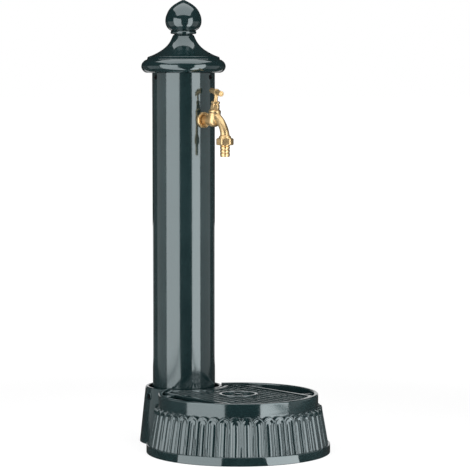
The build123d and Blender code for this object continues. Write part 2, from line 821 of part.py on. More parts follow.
def make_tee_handle():
    """The round cross bar on its hub, nearly in line with the inlet when the tap is shut."""
    half = handle_length / 2
    bar = Rot(90, 0, 0) * Cone(handle_end_radius, handle_radius, half, align=hanging)
    bars = bar + mirror(bar, Plane.XZ)
    ends = bars.edges().filter_by(GeomType.CIRCLE).group_by(Axis.Y)
    bars = fillet(ends[0] + ends[-1], handle_end_round)
    hub = disc(handle_hub_radius, handle_hub_bottom, handle_hub_top)
    handle = Pos(0, 0, handle_height) * Rot(0, 0, -handle_turn) * bars + hub
    handle -= disc(spindle_end_radius + thread_gap, handle_hub_bottom - overrun, spindle_end + overrun)
    return one_solid(tap_place * handle)


def make_handle_screw():
    """The screw that holds the handle on the spindle."""
    return tap_place * disc(handle_screw_radius, spindle_end, spindle_end + handle_screw_thick)


def make_jumper():
    """The jumper: a disc with a stem above and a stub below."""
    jumper = disc(jumper_radius, jumper_top - jumper_disc, jumper_top)
    jumper += disc(jumper_stem_radius, jumper_top, jumper_top + jumper_stem)
    stub_bottom = seat_top - jumper_nut_thick - jumper_stub_stand
    jumper += disc(jumper_stub_radius, stub_bottom, jumper_top - jumper_disc)
    return one_solid(tap_place * jumper)


def make_jumper_washer():
    """The rubber washer that shuts on the seat."""
    top = seat_top + jumper_washer_thick
    return tap_place * ring(jumper_radius, jumper_stub_radius + thread_gap, seat_top, top)


def make_jumper_nut():
    """The small nut under the washer."""
    nut = hexagon(jumper_nut_flats, seat_top - jumper_nut_thick, seat_top)
    nut -= disc(jumper_stub_radius + thread_gap, 0, seat_top + overrun)
    return one_solid(tap_place * nut)


def make_union_nut():
    """The hose union's nut, with an inner lip that carries the tail."""
    nut = hexagon(union_flats, -union_bottom, -union_top)
    nut -= disc(outlet_thread_radius + turn_gap, -tail_flange_bottom, -union_top + overrun)
    nut -= disc(hose_barb_radius + turn_gap, -union_bottom - overrun, -tail_flange_bottom + overrun)
    return one_solid(outlet_place * nut)


def make_union_washer():
    """The rubber washer between the outlet's end and the tail's flange."""
    top = -tail_flange_top + union_washer_thick
    return outlet_place * ring(tail_flange_radius, union_washer_bore, -tail_flange_top, top)


def make_hose_tail():
    """The barbed hose tail under its flange."""
    tail = disc(tail_flange_radius, -tail_flange_bottom, -tail_flange_top)
    tail += disc(hose_barb_radius, -union_bottom - hose_neck, -tail_flange_bottom)
    tail += disc(hose_radius, -hose_end, -union_bottom - hose_neck)
    for step in range(barb_count):
        bottom = -hose_end + step * barb_pitch
        tail += cone(hose_radius, hose_barb_radius, bottom, bottom + barb_length)
    tail -= disc(hose_bore_radius, -hose_end - overrun, -union_top)
    return one_solid(outlet_place * tail)


def make_elbow():
    """The elbow that turns the water line towards the tap."""
    elbow = disc(elbow_radius, tap_height - elbow_reach, tap_height)
    elbow += Pos(0, 0, tap_height) * Sphere(elbow_radius)
    elbow += rod(elbow_radius, 0, elbow_reach, tap_height)
    elbow -= disc(pipe_radius + pipe_gap, tap_height - elbow_reach - overrun, riser_top)
    elbow -= disc(elbow_bore_radius, riser_top - overrun, tap_height)
    elbow -= rod(elbow_bore_radius, 0, elbow_reach, tap_height)
    elbow -= Pos(0, 0, tap_height) * Sphere(elbow_bore_radius)
    elbow -= rod(tail_radius + thread_gap, elbow_reach - elbow_socket, elbow_reach + overrun, tap_height)
    return one_solid(elbow)


def make_extension_piece():
    """The threaded piece between the elbow and the column's wall."""
    piece = rod(tail_radius, elbow_reach - elbow_socket, elbow_reach, tap_height)
    hex_part = hexagon(extension_flats, 0, extension_hex)
    piece += Location((0, -elbow_reach, tap_height), (90, 0, 0)) * hex_part
    piece += rod(extension_radius, elbow_reach + extension_hex, extension_end, tap_height)
    piece -= rod(tail_radius + thread_gap, tail_start, extension_end + overrun, tap_height)
    piece -= rod(elbow_bore_radius, 0, extension_end, tap_height)
    return one_solid(piece)


def make_backing_saddle():
    """The ring between the extension's flat end and the inside of the round wall."""
    saddle = rod(saddle_radius, extension_end, column_radius, tap_height)
    half = saddle_radius + overrun
    saddle &= disc(column_bore - saddle_gap, tap_height - half, tap_height + half)
    saddle -= rod(tail_radius + bolt_gap, 0, column_radius + overrun, tap_height)
    return one_solid(saddle)


def make_inlet_fitting():
    """The floor fitting: supply thread below, pipe socket above, and a flange on the foot's plate."""
    fitting = disc(fitting_flange_radius, foot_plate, foot_plate + fitting_flange)
    fitting += disc(fitting_radius, fitting_bottom, foot_plate)
    fitting += disc(fitting_barrel_radius, foot_plate, fitting_top)
    fitting -= disc(pipe_radius + pipe_gap, riser_bottom, fitting_top + overrun)
    fitting -= disc(elbow_bore_radius, fitting_bottom, riser_bottom + overrun)
    fitting -= disc(supply_thread_radius, fitting_bottom - overrun, fitting_bottom + supply_thread_depth)
    for side in (-1, 1):
        y = side * fitting_screw_circle
        fitting -= disc(fitting_screw_radius + bolt_gap, foot_plate - overrun, fitting_top, 0, y)
    return one_solid(fitting)


def make_fitting_screws():
    """Two screws that hold the floor fitting down."""
    top = foot_plate + fitting_flange
    screws = []
    for side in (-1, 1):
        y = side * fitting_screw_circle
        screw = disc(fitting_screw_head_radius, top, top + fitting_screw_head, 0, y)
        screw += disc(fitting_screw_radius, fitting_bottom, top, 0, y)
        screws.append(one_solid(screw))
    return Compound(children=screws)


def make_riser_pipe():
    """The pipe that brings the water up the column."""
    return ring(pipe_radius, pipe_radius - pipe_wall, riser_bottom, riser_top)


def make_riser_nuts():
    """The compression nuts at the pipe's two ends."""
    lower = hexagon(riser_nut_flats, fitting_top, fitting_top + riser_nut_height)
    upper_top = tap_height - elbow_reach
    upper = hexagon(riser_nut_flats, upper_top - riser_nut_height, upper_top)
    hole = disc(pipe_radius + pipe_gap, fitting_top - overrun, upper_top + overrun)
    return Compound(children=[one_solid(lower - hole), one_solid(upper - hole)])


makers = {
    "column_tube": make_column_tube,
    "column_foot": make_column_foot,
    "foot_screws": make_foot_screws,
    "cap_screws": make_cap_screws,
    "basin": make_basin,
    "basin_screws": make_basin_screws,
    "grate": make_grate,
    "waste_body": make_waste_body,
    "waste_washer": make_waste_washer,
    "waste_nut": make_waste_nut,
    "cap": make_cap,
    "finial": make_finial,
    "finial_stud": make_finial_stud,
    "finial_nut": make_finial_nut,
    "wall_flange": make_wall_flange,
    "tap_body": make_tap_body,
    "bonnet_washer": make_bonnet_washer,
    "bonnet": make_bonnet,
    "gland_packing": make_gland_packing,
    "gland_nut": make_gland_nut,
    "spindle": make_spindle,
    "tee_handle": make_tee_handle,
    "handle_screw": make_handle_screw,
    "jumper": make_jumper,
    "jumper_washer": make_jumper_washer,
    "jumper_nut": make_jumper_nut,
    "union_nut": make_union_nut,
    "union_washer": make_union_washer,
    "hose_tail": make_hose_tail,
    "elbow": make_elbow,
    "extension_piece": make_extension_piece,
    "backing_saddle": make_backing_saddle,
    "inlet_fitting": make_inlet_fitting,
    "fitting_screws": make_fitting_screws,
    "riser_pipe": make_riser_pipe,
    "riser_nuts": make_riser_nuts,
}

for name, make in makers.items():
    save(name, make())
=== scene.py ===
import math

import bmesh
import bpy
from bpy.props import FloatProperty, FloatVectorProperty, IntProperty, PointerProperty
from bpy.types import Operator, Panel, PropertyGroup
from mathutils import Matrix, Vector
from mathutils.geometry import tessellate_polygon


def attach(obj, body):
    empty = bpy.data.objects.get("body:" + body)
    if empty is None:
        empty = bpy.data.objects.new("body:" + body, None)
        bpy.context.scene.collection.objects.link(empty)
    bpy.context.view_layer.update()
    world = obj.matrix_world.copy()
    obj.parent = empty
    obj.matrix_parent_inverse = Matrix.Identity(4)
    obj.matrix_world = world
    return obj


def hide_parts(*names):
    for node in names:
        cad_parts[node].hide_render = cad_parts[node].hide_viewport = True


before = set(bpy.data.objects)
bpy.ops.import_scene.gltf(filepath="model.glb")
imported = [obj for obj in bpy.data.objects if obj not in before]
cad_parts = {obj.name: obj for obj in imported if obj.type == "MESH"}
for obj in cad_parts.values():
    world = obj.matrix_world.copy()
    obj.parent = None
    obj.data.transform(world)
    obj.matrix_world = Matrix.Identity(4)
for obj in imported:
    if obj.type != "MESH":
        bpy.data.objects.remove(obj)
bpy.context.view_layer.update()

bl_info = {
    "name": "Garden Standpipe",
    "version": (1, 0, 0),
    "blender": (4, 5, 0),
    "location": "3D View > Sidebar > Standpipe",
    "description": "Looks for a round garden standpipe with a brass tap and a fluted basin",
    "category": "Object",
}

MM = 0.001
WHITE = (1.0, 1.0, 1.0, 1.0)

# Places that the frame gives, in millimetres
COLUMN_RADIUS = 62.5
COLUMN_BORE = 59.5
COLUMN_BOTTOM = 10.0
COLUMN_TOP = 739.0
EDGE_SOFT = 0.6
SCREW_COUNT = 3
SCREW_START = math.radians(50.0)
CAP_SCREW_HEIGHT = 730.0
FOOT_SCREW_HEIGHT = 94.0
FOOT_BASE_RADIUS = 89.0
FOOT_TOP_RADIUS = 77.0
FOOT_HEIGHT = 112.0
FOOT_WALL = 6.0
BOSS_STAND = 1.0
SCREW_SINK = 4.0
ANCHOR_COUNT = 4
ANCHOR_CIRCLE = 36.0
BASIN_REACH = 172.0
BASIN_HEIGHT = 115.0
CASTING_GAP = 0.4
PLINTH_HEIGHT = 17.0
FLUTE_BASE_RADIUS = 174.5
FLUTE_TOP_RADIUS = 161.5
FLUTE_TOP = 91.0
RIM_RADIUS = 156.0
RIM_WIDTH = 8.0
GRATE_BOTTOM = 105.0
GRATE_TOP = 112.0
GRATE_RADIUS = 146.0
GRATE_HALF_WIDTH = 100.0
TAP_HEIGHT = 645.5
VALVE_REACH = 97.0
SPOUT_REACH = 131.0
TAP_LEAN = math.radians(8.0)
HANDLE_TURN = math.radians(16.5)

BASIN_PLACE = Matrix.Translation((0, -BASIN_REACH, 0))
VALVE_PLACE = Matrix.Translation((0, -VALVE_REACH, TAP_HEIGHT)) @ Matrix.Rotation(TAP_LEAN, 4, "X")
OUTLET_PLACE = Matrix.Translation((0, -SPOUT_REACH, TAP_HEIGHT))
INLET_PLACE = Matrix.Translation((0, 0, TAP_HEIGHT)) @ Matrix.Rotation(math.pi / 2, 4, "X")


# Sizes and colours that a user would change


class StandpipePaint(PropertyGroup):
    """The gloss paint of the castings and the tube."""

    colour: FloatVectorProperty(
        name="Colour", description="Colour of the gloss paint", subtype="COLOR", size=3,
        min=0, max=1, default=(0.008, 0.021, 0.0225))
    thin_colour: FloatVectorProperty(
        name="Thin colour", description="Colour where the paint lies thinly", subtype="COLOR", size=3,
        min=0, max=1, default=(0.012, 0.028, 0.030))
    roughness: FloatProperty(
        name="Roughness", description="Roughness of the paint", subtype="FACTOR", min=0, max=1,
        default=0.09)
    peel: FloatProperty(
        name="Orange peel", description="Height of the fine waves in the paint", unit="LENGTH",
        min=0, max=0.001, precision=6, default=0.000012)
    wave: FloatProperty(
        name="Casting waves", description="Height of the broad waves of the cast surface", unit="LENGTH",
        min=0, max=0.002, precision=6, default=0.00012)


class StandpipeBrass(PropertyGroup):
    """The brass of the tap."""

    colour: FloatVectorProperty(
        name="Colour", description="Colour of the bright brass", subtype="COLOR", size=3,
        min=0, max=1, default=(0.80, 0.58, 0.30))
    dark_colour: FloatVectorProperty(
        name="Dull colour", description="Colour of the brass in its hollows", subtype="COLOR", size=3,
        min=0, max=1, default=(0.42, 0.25, 0.09))
    cast_roughness: FloatProperty(
        name="Cast roughness", description="Roughness of the cast body", subtype="FACTOR",
        min=0, max=1, default=0.31)
    turned_roughness: FloatProperty(
        name="Turned roughness", description="Roughness of the machined pieces", subtype="FACTOR",
        min=0, max=1, default=0.26)


class StandpipeFlutes(PropertyGroup):
    """The fluted band of the basin."""

    count: IntProperty(name="Count", description="Flutes in a full circle", min=12, max=96, default=48)
    half_width: FloatProperty(
        name="Half width", description="Half width of one flute, as a share of the spacing",
        subtype="FACTOR", min=0.2, max=0.48, default=0.44)
    depth: FloatProperty(
        name="Depth", description="Depth of the hollow", unit="LENGTH", min=0, max=0.006, precision=5,
        default=0.0016)
    tongue_width: FloatProperty(
        name="Tongue width", description="Half width of the reed inside a flute", unit="LENGTH",
        min=0, max=0.008, precision=5, default=0.0050)
    tongue_height: FloatProperty(
        name="Tongue height", description="Height of the reed inside a flute", unit="LENGTH",
        min=0, max=0.006, precision=5, default=0.0018)
    ridge_width: FloatProperty(
        name="Ridge width", description="Half width of the raised line round a flute", unit="LENGTH",
        min=0.0005, max=0.003, precision=5, default=0.0027)
    ridge_height: FloatProperty(
        name="Ridge height", description="Height of the raised line round a flute", unit="LENGTH",
        min=0, max=0.003, precision=5, default=0.0012)
    arch_height: FloatProperty(
        name="Arch height", description="Height at which the round tops of the flutes begin", unit="LENGTH",
        min=0.05, max=0.09, precision=5, default=0.0768)


class StandpipeGrate(PropertyGroup):
    """The loose grate in the basin."""

    bars: IntProperty(name="Bars", description="Bars between the two sides", min=2, max=30, default=10)
    bar_pitch: FloatProperty(
        name="Bar pitch", description="Distance from bar to bar", unit="LENGTH", min=0.005, max=0.05,
        precision=5, default=0.016545)
    bar_width: FloatProperty(
        name="Bar width", description="Width of one bar", unit="LENGTH", min=0.001, max=0.01, precision=5,
        default=0.005)
    petals: IntProperty(name="Petals", description="Petals of the rosette", min=3, max=24, default=8)


class StandpipeStage(PropertyGroup):
    """The camera, the lamps and the floor."""

    azimuth: FloatProperty(
        name="Azimuth", description="Where the camera stands round the column", unit="ROTATION",
        default=math.radians(-38.0))
    distance: FloatProperty(
        name="Distance", description="From the column to the camera", unit="LENGTH", min=1, max=20,
        default=4.35)
    height: FloatProperty(
        name="Height", description="Height of the camera", unit="LENGTH", min=0, max=3, default=0.70)
    tilt: FloatProperty(
        name="Tilt", description="How far the camera looks down", unit="ROTATION", default=0.0655)
    pan: FloatProperty(
        name="Pan", description="How far the camera looks to the right of the column", unit="ROTATION",
        default=0.0236)
    lens: FloatProperty(
        name="Lens", description="Focal length in millimetres", min=20, max=400, default=166.6)
    left_radiance: FloatProperty(
        name="Left lamp", description="Brightness of the left lamp's face", min=0, max=50, default=2.2)
    right_radiance: FloatProperty(
        name="Right lamp", description="Brightness of the right lamp's face", min=0, max=50, default=2.7)
    top_radiance: FloatProperty(
        name="Top lamp", description="Brightness of the top lamp's face", min=0, max=50, default=1.6)
    ambient: FloatProperty(
        name="Ambient", description="Brightness of the room's own light", min=0, max=2, default=0.5)
    floor_colour: FloatVectorProperty(
        name="Floor colour", description="Colour of the floor", subtype="COLOR", size=3, min=0, max=1,
        default=(0.86, 0.86, 0.86))


GROUPS = {
    "standpipe_paint": StandpipePaint,
    "standpipe_brass": StandpipeBrass,
    "standpipe_flutes": StandpipeFlutes,
    "standpipe_grate": StandpipeGrate,
    "standpipe_stage": StandpipeStage,
}


# Node trees


class Socket:
    """A number socket, so that maths on it reads as plain Python."""

    def __init__(self, graph, socket):
        self.graph = graph
        self.socket = socket

    def with_(self, operation, *others):
        return self.graph.maths(operation, self, *others)

    def __add__(self, other):
        return self.with_("ADD", other)

    def __sub__(self, other):
        return self.with_("SUBTRACT", other)

    def __mul__(self, other):
        return self.with_("MULTIPLY", other)

    def __truediv__(self, other):
        return self.with_("DIVIDE", other)

    def __radd__(self, other):
        return self.graph.maths("ADD", other, self)

    def __rsub__(self, other):
        return self.graph.maths("SUBTRACT", other, self)

    def __rmul__(self, other):
        return self.graph.maths("MULTIPLY", other, self)

    def __rtruediv__(self, other):
        return self.graph.maths("DIVIDE", other, self)

    def __neg__(self):
        return self * -1.0


class Made:
    """One node, whose outputs are read by identifier or name."""

    def __init__(self, graph, node):
        self.graph = graph
        self.node = node

    def __getitem__(self, key):
        return Socket(self.graph, pick(self.node.outputs, key))


def pick(sockets, key):
    """The socket with that identifier, name or number."""
    for socket in sockets:
        if socket.identifier == key:
            return socket
    return sockets[key]


class Graph:
    """A node tree that grows by calls."""

    def __init__(self, tree):
        self.tree = tree

    def add(self, kind, settings=None, inputs=None):
        """One node of a kind, with its settings and the values or links of its sockets."""
        node = self.tree.nodes.new(kind)
        for name, value in (settings or {}).items():
            setattr(node, name, value)
        for key, value in (inputs or {}).items():
            self.plug(pick(node.inputs, key), value)
        return Made(self, node)

    def plug(self, socket, value):
        if isinstance(value, Socket):
            self.tree.links.new(value.socket, socket)
        else:
            socket.default_value = value

    def maths(self, operation, *values):
        inputs = {index: value for index, value in enumerate(values)}
        return self.add("ShaderNodeMath", {"operation": operation}, inputs)[0]

    def mix(self, factor, first, second):
        """A colour between two colours."""
        inputs = {"Factor_Float": factor, "A_Color": first, "B_Color": second}
        return self.add("ShaderNodeMix", {"data_type": "RGBA"}, inputs)["Result_Color"]

    def smooth(self, value, low, high, to_low=0.0, to_high=1.0):
        """A smooth step from one value to another."""
        inputs = {"Value": value, "From Min": low, "From Max": high, "To Min": to_low, "To Max": to_high}
        return self.add("ShaderNodeMapRange", {"interpolation_type": "SMOOTHSTEP"}, inputs)["Result"]

    def noise(self, vector, scale, detail=2.0, roughness=0.5):
        inputs = {"Vector": vector, "Scale": scale, "Detail": detail, "Roughness": roughness}
        return self.add("ShaderNodeTexNoise", None, inputs)["Fac"]

    def vector(self, x, y, z):
        return self.add("ShaderNodeCombineXYZ", None, {"X": x, "Y": y, "Z": z})["Vector"]

    def place(self):
        """Where a point lies in the object's own frame."""
        return self.add("ShaderNodeTexCoord")["Object"]

    def seen(self):
        """One where the eye, a mirror or glass looks, and zero where light is spread."""
        path = self.add("ShaderNodeLightPath")
        seen = self.maths("MAXIMUM", path["Is Camera Ray"], path["Is Glossy Ray"])
        return self.maths("MAXIMUM", seen, path["Is Transmission Ray"])


def colour4(colour):
    return (*colour, 1.0)


# The fine rings of turned brass: how the noise is stretched, and its height in metres
RING_SCALE = (60.0, 60.0, 5200.0)
RING_HEIGHT = 0.0000012


def new_material(name):
    """An empty material and its graph."""
    material = bpy.data.materials.new(name)
    material.use_nodes = True
    material.node_tree.nodes.clear()
    return material, Graph(material.node_tree)


def close_material(graph, inputs, height):
    """Adds the main shader with its inputs, and a bump from a height in metres."""
    bump = graph.add("ShaderNodeBump", None, {"Strength": 1.0, "Distance": 1.0, "Height": height})
    inputs["Normal"] = bump["Normal"]
    shader = graph.add("ShaderNodeBsdfPrincipled", None, inputs)
    graph.add("ShaderNodeOutputMaterial", None, {"Surface": shader["BSDF"]})


def paint_material(name, wave_share, peel_share):
    """Gloss paint on cast or drawn metal."""
    look = bpy.context.scene.standpipe_paint
    material, graph = new_material(name)
    place = graph.place()
    broad = graph.noise(place, 11.0, 3.0)
    cast = graph.noise(place, 48.0, 2.0, 0.45)
    grain = graph.noise(place, 150.0, 2.0, 0.5)
    fine = graph.noise(place, 520.0, 2.0, 0.5)
    colour = graph.mix(graph.smooth(broad, 0.35, 0.7), colour4(look.colour), colour4(look.thin_colour))
    colour = graph.mix(graph.smooth(fine, 0.45, 0.75) * 0.25, colour, colour4(look.thin_colour))
    roughness = look.roughness + graph.smooth(broad, 0.3, 0.7) * 0.04
    roughness = roughness + graph.smooth(fine, 0.4, 0.8) * 0.03
    height = cast * (look.wave * wave_share) + grain * (look.peel * 2.2 * peel_share)
    height = height + fine * (look.peel * peel_share)
    close_material(graph, {
        "Base Color": colour,
        "Roughness": roughness,
        "IOR": 1.95,
        "Specular Tint": (0.84, 0.97, 1.0, 1.0),
        "Coat Weight": 0.4,
        "Coat Roughness": 0.05,
        "Coat IOR": 1.55,
    }, height)
    return material


def brass_material(name, grain_height, turned):
    """Brass with dull hollows; a turned piece has fine rings, a cast one has grain."""
    look = bpy.context.scene.standpipe_brass
    material, graph = new_material(name)
    place = graph.place()
    broad = graph.noise(place, 90.0, 3.0)
    grain = graph.noise(place, 1300.0, 3.0, 0.6)
    pits = graph.noise(place, 620.0, 2.0, 0.5)
    hollow = graph.smooth(graph.add("ShaderNodeNewGeometry")["Pointiness"], 0.5, 0.42)
    dull = hollow * 0.7 + graph.smooth(broad, 0.45, 0.75) * 0.16
    colour = graph.mix(dull, colour4(look.colour), colour4(look.dark_colour))
    rough = look.turned_roughness if turned else look.cast_roughness
    rough = rough + graph.smooth(broad, 0.3, 0.75) * 0.08 + hollow * 0.15
    height = grain * grain_height + pits * (grain_height * 1.4)
    if turned:
        stretched = graph.add("ShaderNodeMapping", None, {"Vector": place, "Scale": RING_SCALE})
        height = height * 0.3 + graph.noise(stretched["Vector"], 1.0, 1.0) * RING_HEIGHT
    close_material(graph, {
        "Base Color": colour,
        "Metallic": 0.9,
        "IOR": 1.45,
        "Roughness": rough,
    }, height)
    return material


def plain_metal(name, colour, worn_colour, roughness):
    """Plated or drawn metal with a slightly uneven shine."""
    material, graph = new_material(name)
    place = graph.place()
    broad = graph.noise(place, 120.0, 3.0)
    fine = graph.noise(place, 1500.0, 2.0)
    shade = graph.mix(graph.smooth(broad, 0.35, 0.7), colour4(colour), colour4(worn_colour))
    rough = roughness + graph.smooth(broad, 0.3, 0.7) * 0.12
    close_material(graph, {"Base Color": shade, "Metallic": 1.0, "Roughness": rough}, fine * 0.00001)
    return material


def soft_material(name, colour, pale_colour, roughness):
    """Rubber or plastic with a dull, slightly dusty skin."""
    material, graph = new_material(name)
    place = graph.place()
    broad = graph.noise(place, 70.0, 4.0)
    fine = graph.noise(place, 1800.0, 2.0)
    shade = graph.mix(graph.smooth(broad, 0.4, 0.75), colour4(colour), colour4(pale_colour))
    rough = roughness + graph.smooth(fine, 0.3, 0.7) * 0.1
    close_material(graph, {"Base Color": shade, "Roughness": rough}, fine * 0.00002)
    return material


FINISHES = {
    "tube paint": (paint_material, "tube_paint", 0.25, 1.0),
    "casting paint": (paint_material, "casting_paint", 1.0, 1.0),
    "basin paint": (paint_material, "basin_paint", 0.5, 0.22),
    "cast brass": (brass_material, "cast_brass", 0.000022, False),
    "turned brass": (brass_material, "turned_brass", 0.000008, True),
    "screw steel": (plain_metal, "screw_steel", (0.56, 0.57, 0.58), (0.36, 0.37, 0.38), 0.24),
    "black steel": (plain_metal, "black_screws", (0.045, 0.046, 0.05), (0.09, 0.09, 0.095), 0.3),
    "copper": (plain_metal, "copper_pipe", (0.80, 0.42, 0.26), (0.52, 0.24, 0.13), 0.25),
    "rubber": (soft_material, "seal_rubber", (0.018, 0.018, 0.018), (0.05, 0.05, 0.048), 0.6),
    "plastic": (soft_material, "saddle_plastic", (0.03, 0.03, 0.033), (0.07, 0.07, 0.07), 0.45),
}
SLOTS = {
    "tube paint": "green_paint",
    "casting paint": "green_paint",
    "basin paint": "green_paint",
    "cast brass": "polished_brass",
    "turned brass": "polished_brass",
    "black steel": "screw_steel",
}
MATERIALS = {}


def material_of(finish):
    """A finish's material, made once."""
    if finish not in MATERIALS:
        maker, *values = FINISHES[finish]
        MATERIALS[finish] = maker(*values)
    return MATERIALS[finish]


# Forms


def rounded(corners, closed=False, arc_steps=5):
    """A profile of (radius, height) points from corners that may give a round as a third number."""
    made = []
    count = len(corners)
    for index, corner in enumerate(corners):
        here = Vector(corner[:2])
        size = corner[2] if len(corner) > 2 else 0
        at_end = not closed and index in (0, count - 1)
        if size == 0 or at_end:
            made.append(tuple(here))
            continue
        before = Vector(corners[index - 1][:2]) - here
        after = Vector(corners[(index + 1) % count][:2]) - here
        cut = size / math.tan(before.angle(after) / 2)
        cut = min(cut, before.length * 0.45, after.length * 0.45)
        before.normalize()
        after.normalize()
        made.append(tuple(here + before * cut * 1.1))
        for step in range(arc_steps + 1):
            share = step / arc_steps
            first = here + before * cut * (1 - share) ** 2
            made.append(tuple(first + after * cut * share ** 2))
        made.append(tuple(here + after * cut * 1.1))
    return made


def through(points, steps=6):
    """A smooth line through a few points."""
    ends = [Vector(points[0]) * 2 - Vector(points[1])]
    ends += [Vector(point) for point in points]
    ends += [Vector(points[-1]) * 2 - Vector(points[-2])]
    made = []
    for index in range(1, len(ends) - 2):
        a, b, c, d = ends[index - 1:index + 3]
        for step in range(steps):
            t = step / steps
            made.append(tuple(0.5 * (2 * b + (c - a) * t + (2 * a - 5 * b + 4 * c - d) * t ** 2
                                     + (3 * b - a - 3 * c + d) * t ** 3)))
    made.append(tuple(points[-1]))
    return made


def flat_sided(flats, bottom, top, sides=6, soft=0.18):
    """A limit on a turned form that gives it flat sides between two heights."""
    def limit(angle, radius, height):
        if not bottom <= height <= top:
            return radius
        turn = (angle + math.pi / sides) % (2 * math.pi / sides) - math.pi / sides
        flat = flats / 2 / math.cos(turn)
        return min(radius, flat) - soft * math.log1p(math.exp(-abs(radius - flat) / soft))
    return limit


class Draft:
    """Points and faces of one piece in millimetres, gathered from simple closed forms."""

    def __init__(self):
        self.points = []
        self.faces = []

    def add(self, points, faces, place=Matrix()):
        start = len(self.points)
        self.points += [place @ Vector(point) for point in points]
        self.faces += [tuple(start + corner for corner in face) for face in faces]
        return self

    def turn(self, profile, place=Matrix(), steps=96, limit=None, closed=False):
        """A form turned about Z. A closed profile is a loop off the axis, an open one ends on it."""
        points, faces, rings = [], [], []
        for radius, height in profile:
            if radius < 1e-6:
                rings.append([len(points)])
                points.append((0, 0, height))
                continue
            rings.append(range(len(points), len(points) + steps))
            for step in range(steps):
                angle = 2 * math.pi * step / steps
                reach = limit(angle, radius, height) if limit else radius
                points.append((reach * math.cos(angle), reach * math.sin(angle), height))
        pairs = list(zip(rings, rings[1:]))
        if closed:
            pairs.append((rings[-1], rings[0]))
        for low, high in pairs:
            for step in range(steps):
                after = (step + 1) % steps
                if len(low) == 1 and len(high) > 1:
                    faces.append((low[0], high[after], high[step]))
                elif len(high) == 1 and len(low) > 1:
                    faces.append((low[step], low[after], high[0]))
                elif len(low) > 1:
                    faces.append((low[step], low[after], high[after], high[step]))
        return self.add(points, faces, place)

    def rod(self, radius, low, high, place=Matrix(), steps=40):
        """A round rod between two heights."""
        return self.turn([(0, low), (radius, low), (radius, high), (0, high)], place, steps)

    def box(self, low, high, round_=0.6, place=Matrix()):
        """A block with softened edges."""
        bm = bmesh.new()
        middle = (Vector(low) + Vector(high)) / 2
        size = Vector(high) - Vector(low)
        place_in = Matrix.Translation(middle) @ Matrix.Diagonal((*size, 1.0))
        bmesh.ops.create_cube(bm, size=1.0, matrix=place_in)
        bmesh.ops.bevel(bm, geom=bm.edges[:], offset=round_, segments=3, profile=0.5, affect="EDGES")
        points = [vertex.co.copy() for vertex in bm.verts]
        faces = [tuple(vertex.index for vertex in face.verts) for face in bm.faces]
        bm.free()
        return self.add(points, faces, place)

    def tube(self, path, radii, steps=48):
        """A round bar along points in the YZ plane, with flat ends."""
        points, faces = [], []
        for index, (centre, radius) in enumerate(zip(path, radii)):
            ahead = Vector(path[min(index + 1, len(path) - 1)]) - Vector(path[max(index - 1, 0)])
            up = Vector((1, 0, 0)).cross(ahead.normalized())
            for step in range(steps):
                angle = 2 * math.pi * step / steps
                side = Vector((1, 0, 0)) * math.cos(angle) + up * math.sin(angle)
                points.append(Vector(centre) + side * radius)
        for index in range(len(path) - 1):
            for step in range(steps):
                after = (step + 1) % steps
                here, there = index * steps, (index + 1) * steps
                faces.append((here + step, here + after, there + after, there + step))
        faces.append(tuple(range(steps)))
        faces.append(tuple(reversed(range(len(points) - steps, len(points)))))
        return self.add(points, faces)

    def mesh(self, name):
        """A mesh in metres, with its doubles merged and its faces outwards."""
        mesh = bpy.data.meshes.new(name)
        mesh.from_pydata([tuple(Vector(point) * MM) for point in self.points], [], self.faces)
        return clean(mesh, 0.002, 0.001)


def clean(mesh, distance, thinnest=0.0):
    """Merges a mesh's doubles, takes out faces that are too thin and turns the others outwards."""
    bm = bmesh.new()
    bm.from_mesh(mesh)
    bmesh.ops.remove_doubles(bm, verts=bm.verts, dist=distance * MM)
    if thinnest:
        bmesh.ops.dissolve_degenerate(bm, dist=thinnest * MM, edges=bm.edges)
    bmesh.ops.recalc_face_normals(bm, faces=bm.faces)
    bm.to_mesh(mesh)
    bm.free()
    return mesh


def plain_mesh(made):
    """An object's shape as a mesh, with its modifiers applied."""
    graph = bpy.context.evaluated_depsgraph_get()
    return bpy.data.meshes.new_from_object(made.evaluated_get(graph), depsgraph=graph)


def raw_object(name, mesh):
    """An object in the scene, at the origin."""
    made = bpy.data.objects.new(name, mesh)
    bpy.context.scene.collection.objects.link(made)
    return made


def settle(made, modifiers):
    """Applies modifiers, each a type and its settings, to the object's mesh."""
    for kind, settings in modifiers:
        modifier = made.modifiers.new(kind.lower(), kind)
        for name, value in settings.items():
            setattr(modifier, name, value)
    mesh = plain_mesh(made)
    made.modifiers.clear()
    made.data = mesh


def blend(made, voxel, rounds):
    """Blends an object's forms into one casting by voxels of a size in millimetres."""
    settle(made, [
        ("REMESH", {"mode": "VOXEL", "voxel_size": voxel * MM, "use_smooth_shade": True}),
        ("SMOOTH", {"factor": 0.5, "iterations": rounds}),
    ])


def cut(made, draft, operation="DIFFERENCE"):
    """Cuts a draft's forms out of an object, or joins them to it by the operation UNION."""
    tool = raw_object("tool", draft.mesh("tool"))
    settle(made, [("BOOLEAN", {"operation": operation, "solver": "EXACT", "object": tool})])
    bpy.data.objects.remove(tool)


def finish_piece(made, body, finish, *nodes, sharp=38.0):
    """Gives a made piece its finish and its body, and hides the CAD nodes it stands for."""
    slot = SLOTS[finish]
    mesh = made.data
    mesh.materials.clear()
    mesh.materials.append(material_of(finish))
    for polygon in mesh.polygons:
        polygon.material_index = 0
    mesh.shade_smooth()
    mesh.set_sharp_from_angle(angle=math.radians(sharp))
    if nodes:
        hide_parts(*nodes)
    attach(made, body)


def piece_from(draft, name, body, finish, *nodes, sharp=38.0):
    """Finishes a piece from a draft."""
    finish_piece(raw_object(name, draft.mesh(name)), body, finish, *nodes, sharp=sharp)


# Geometry node trees


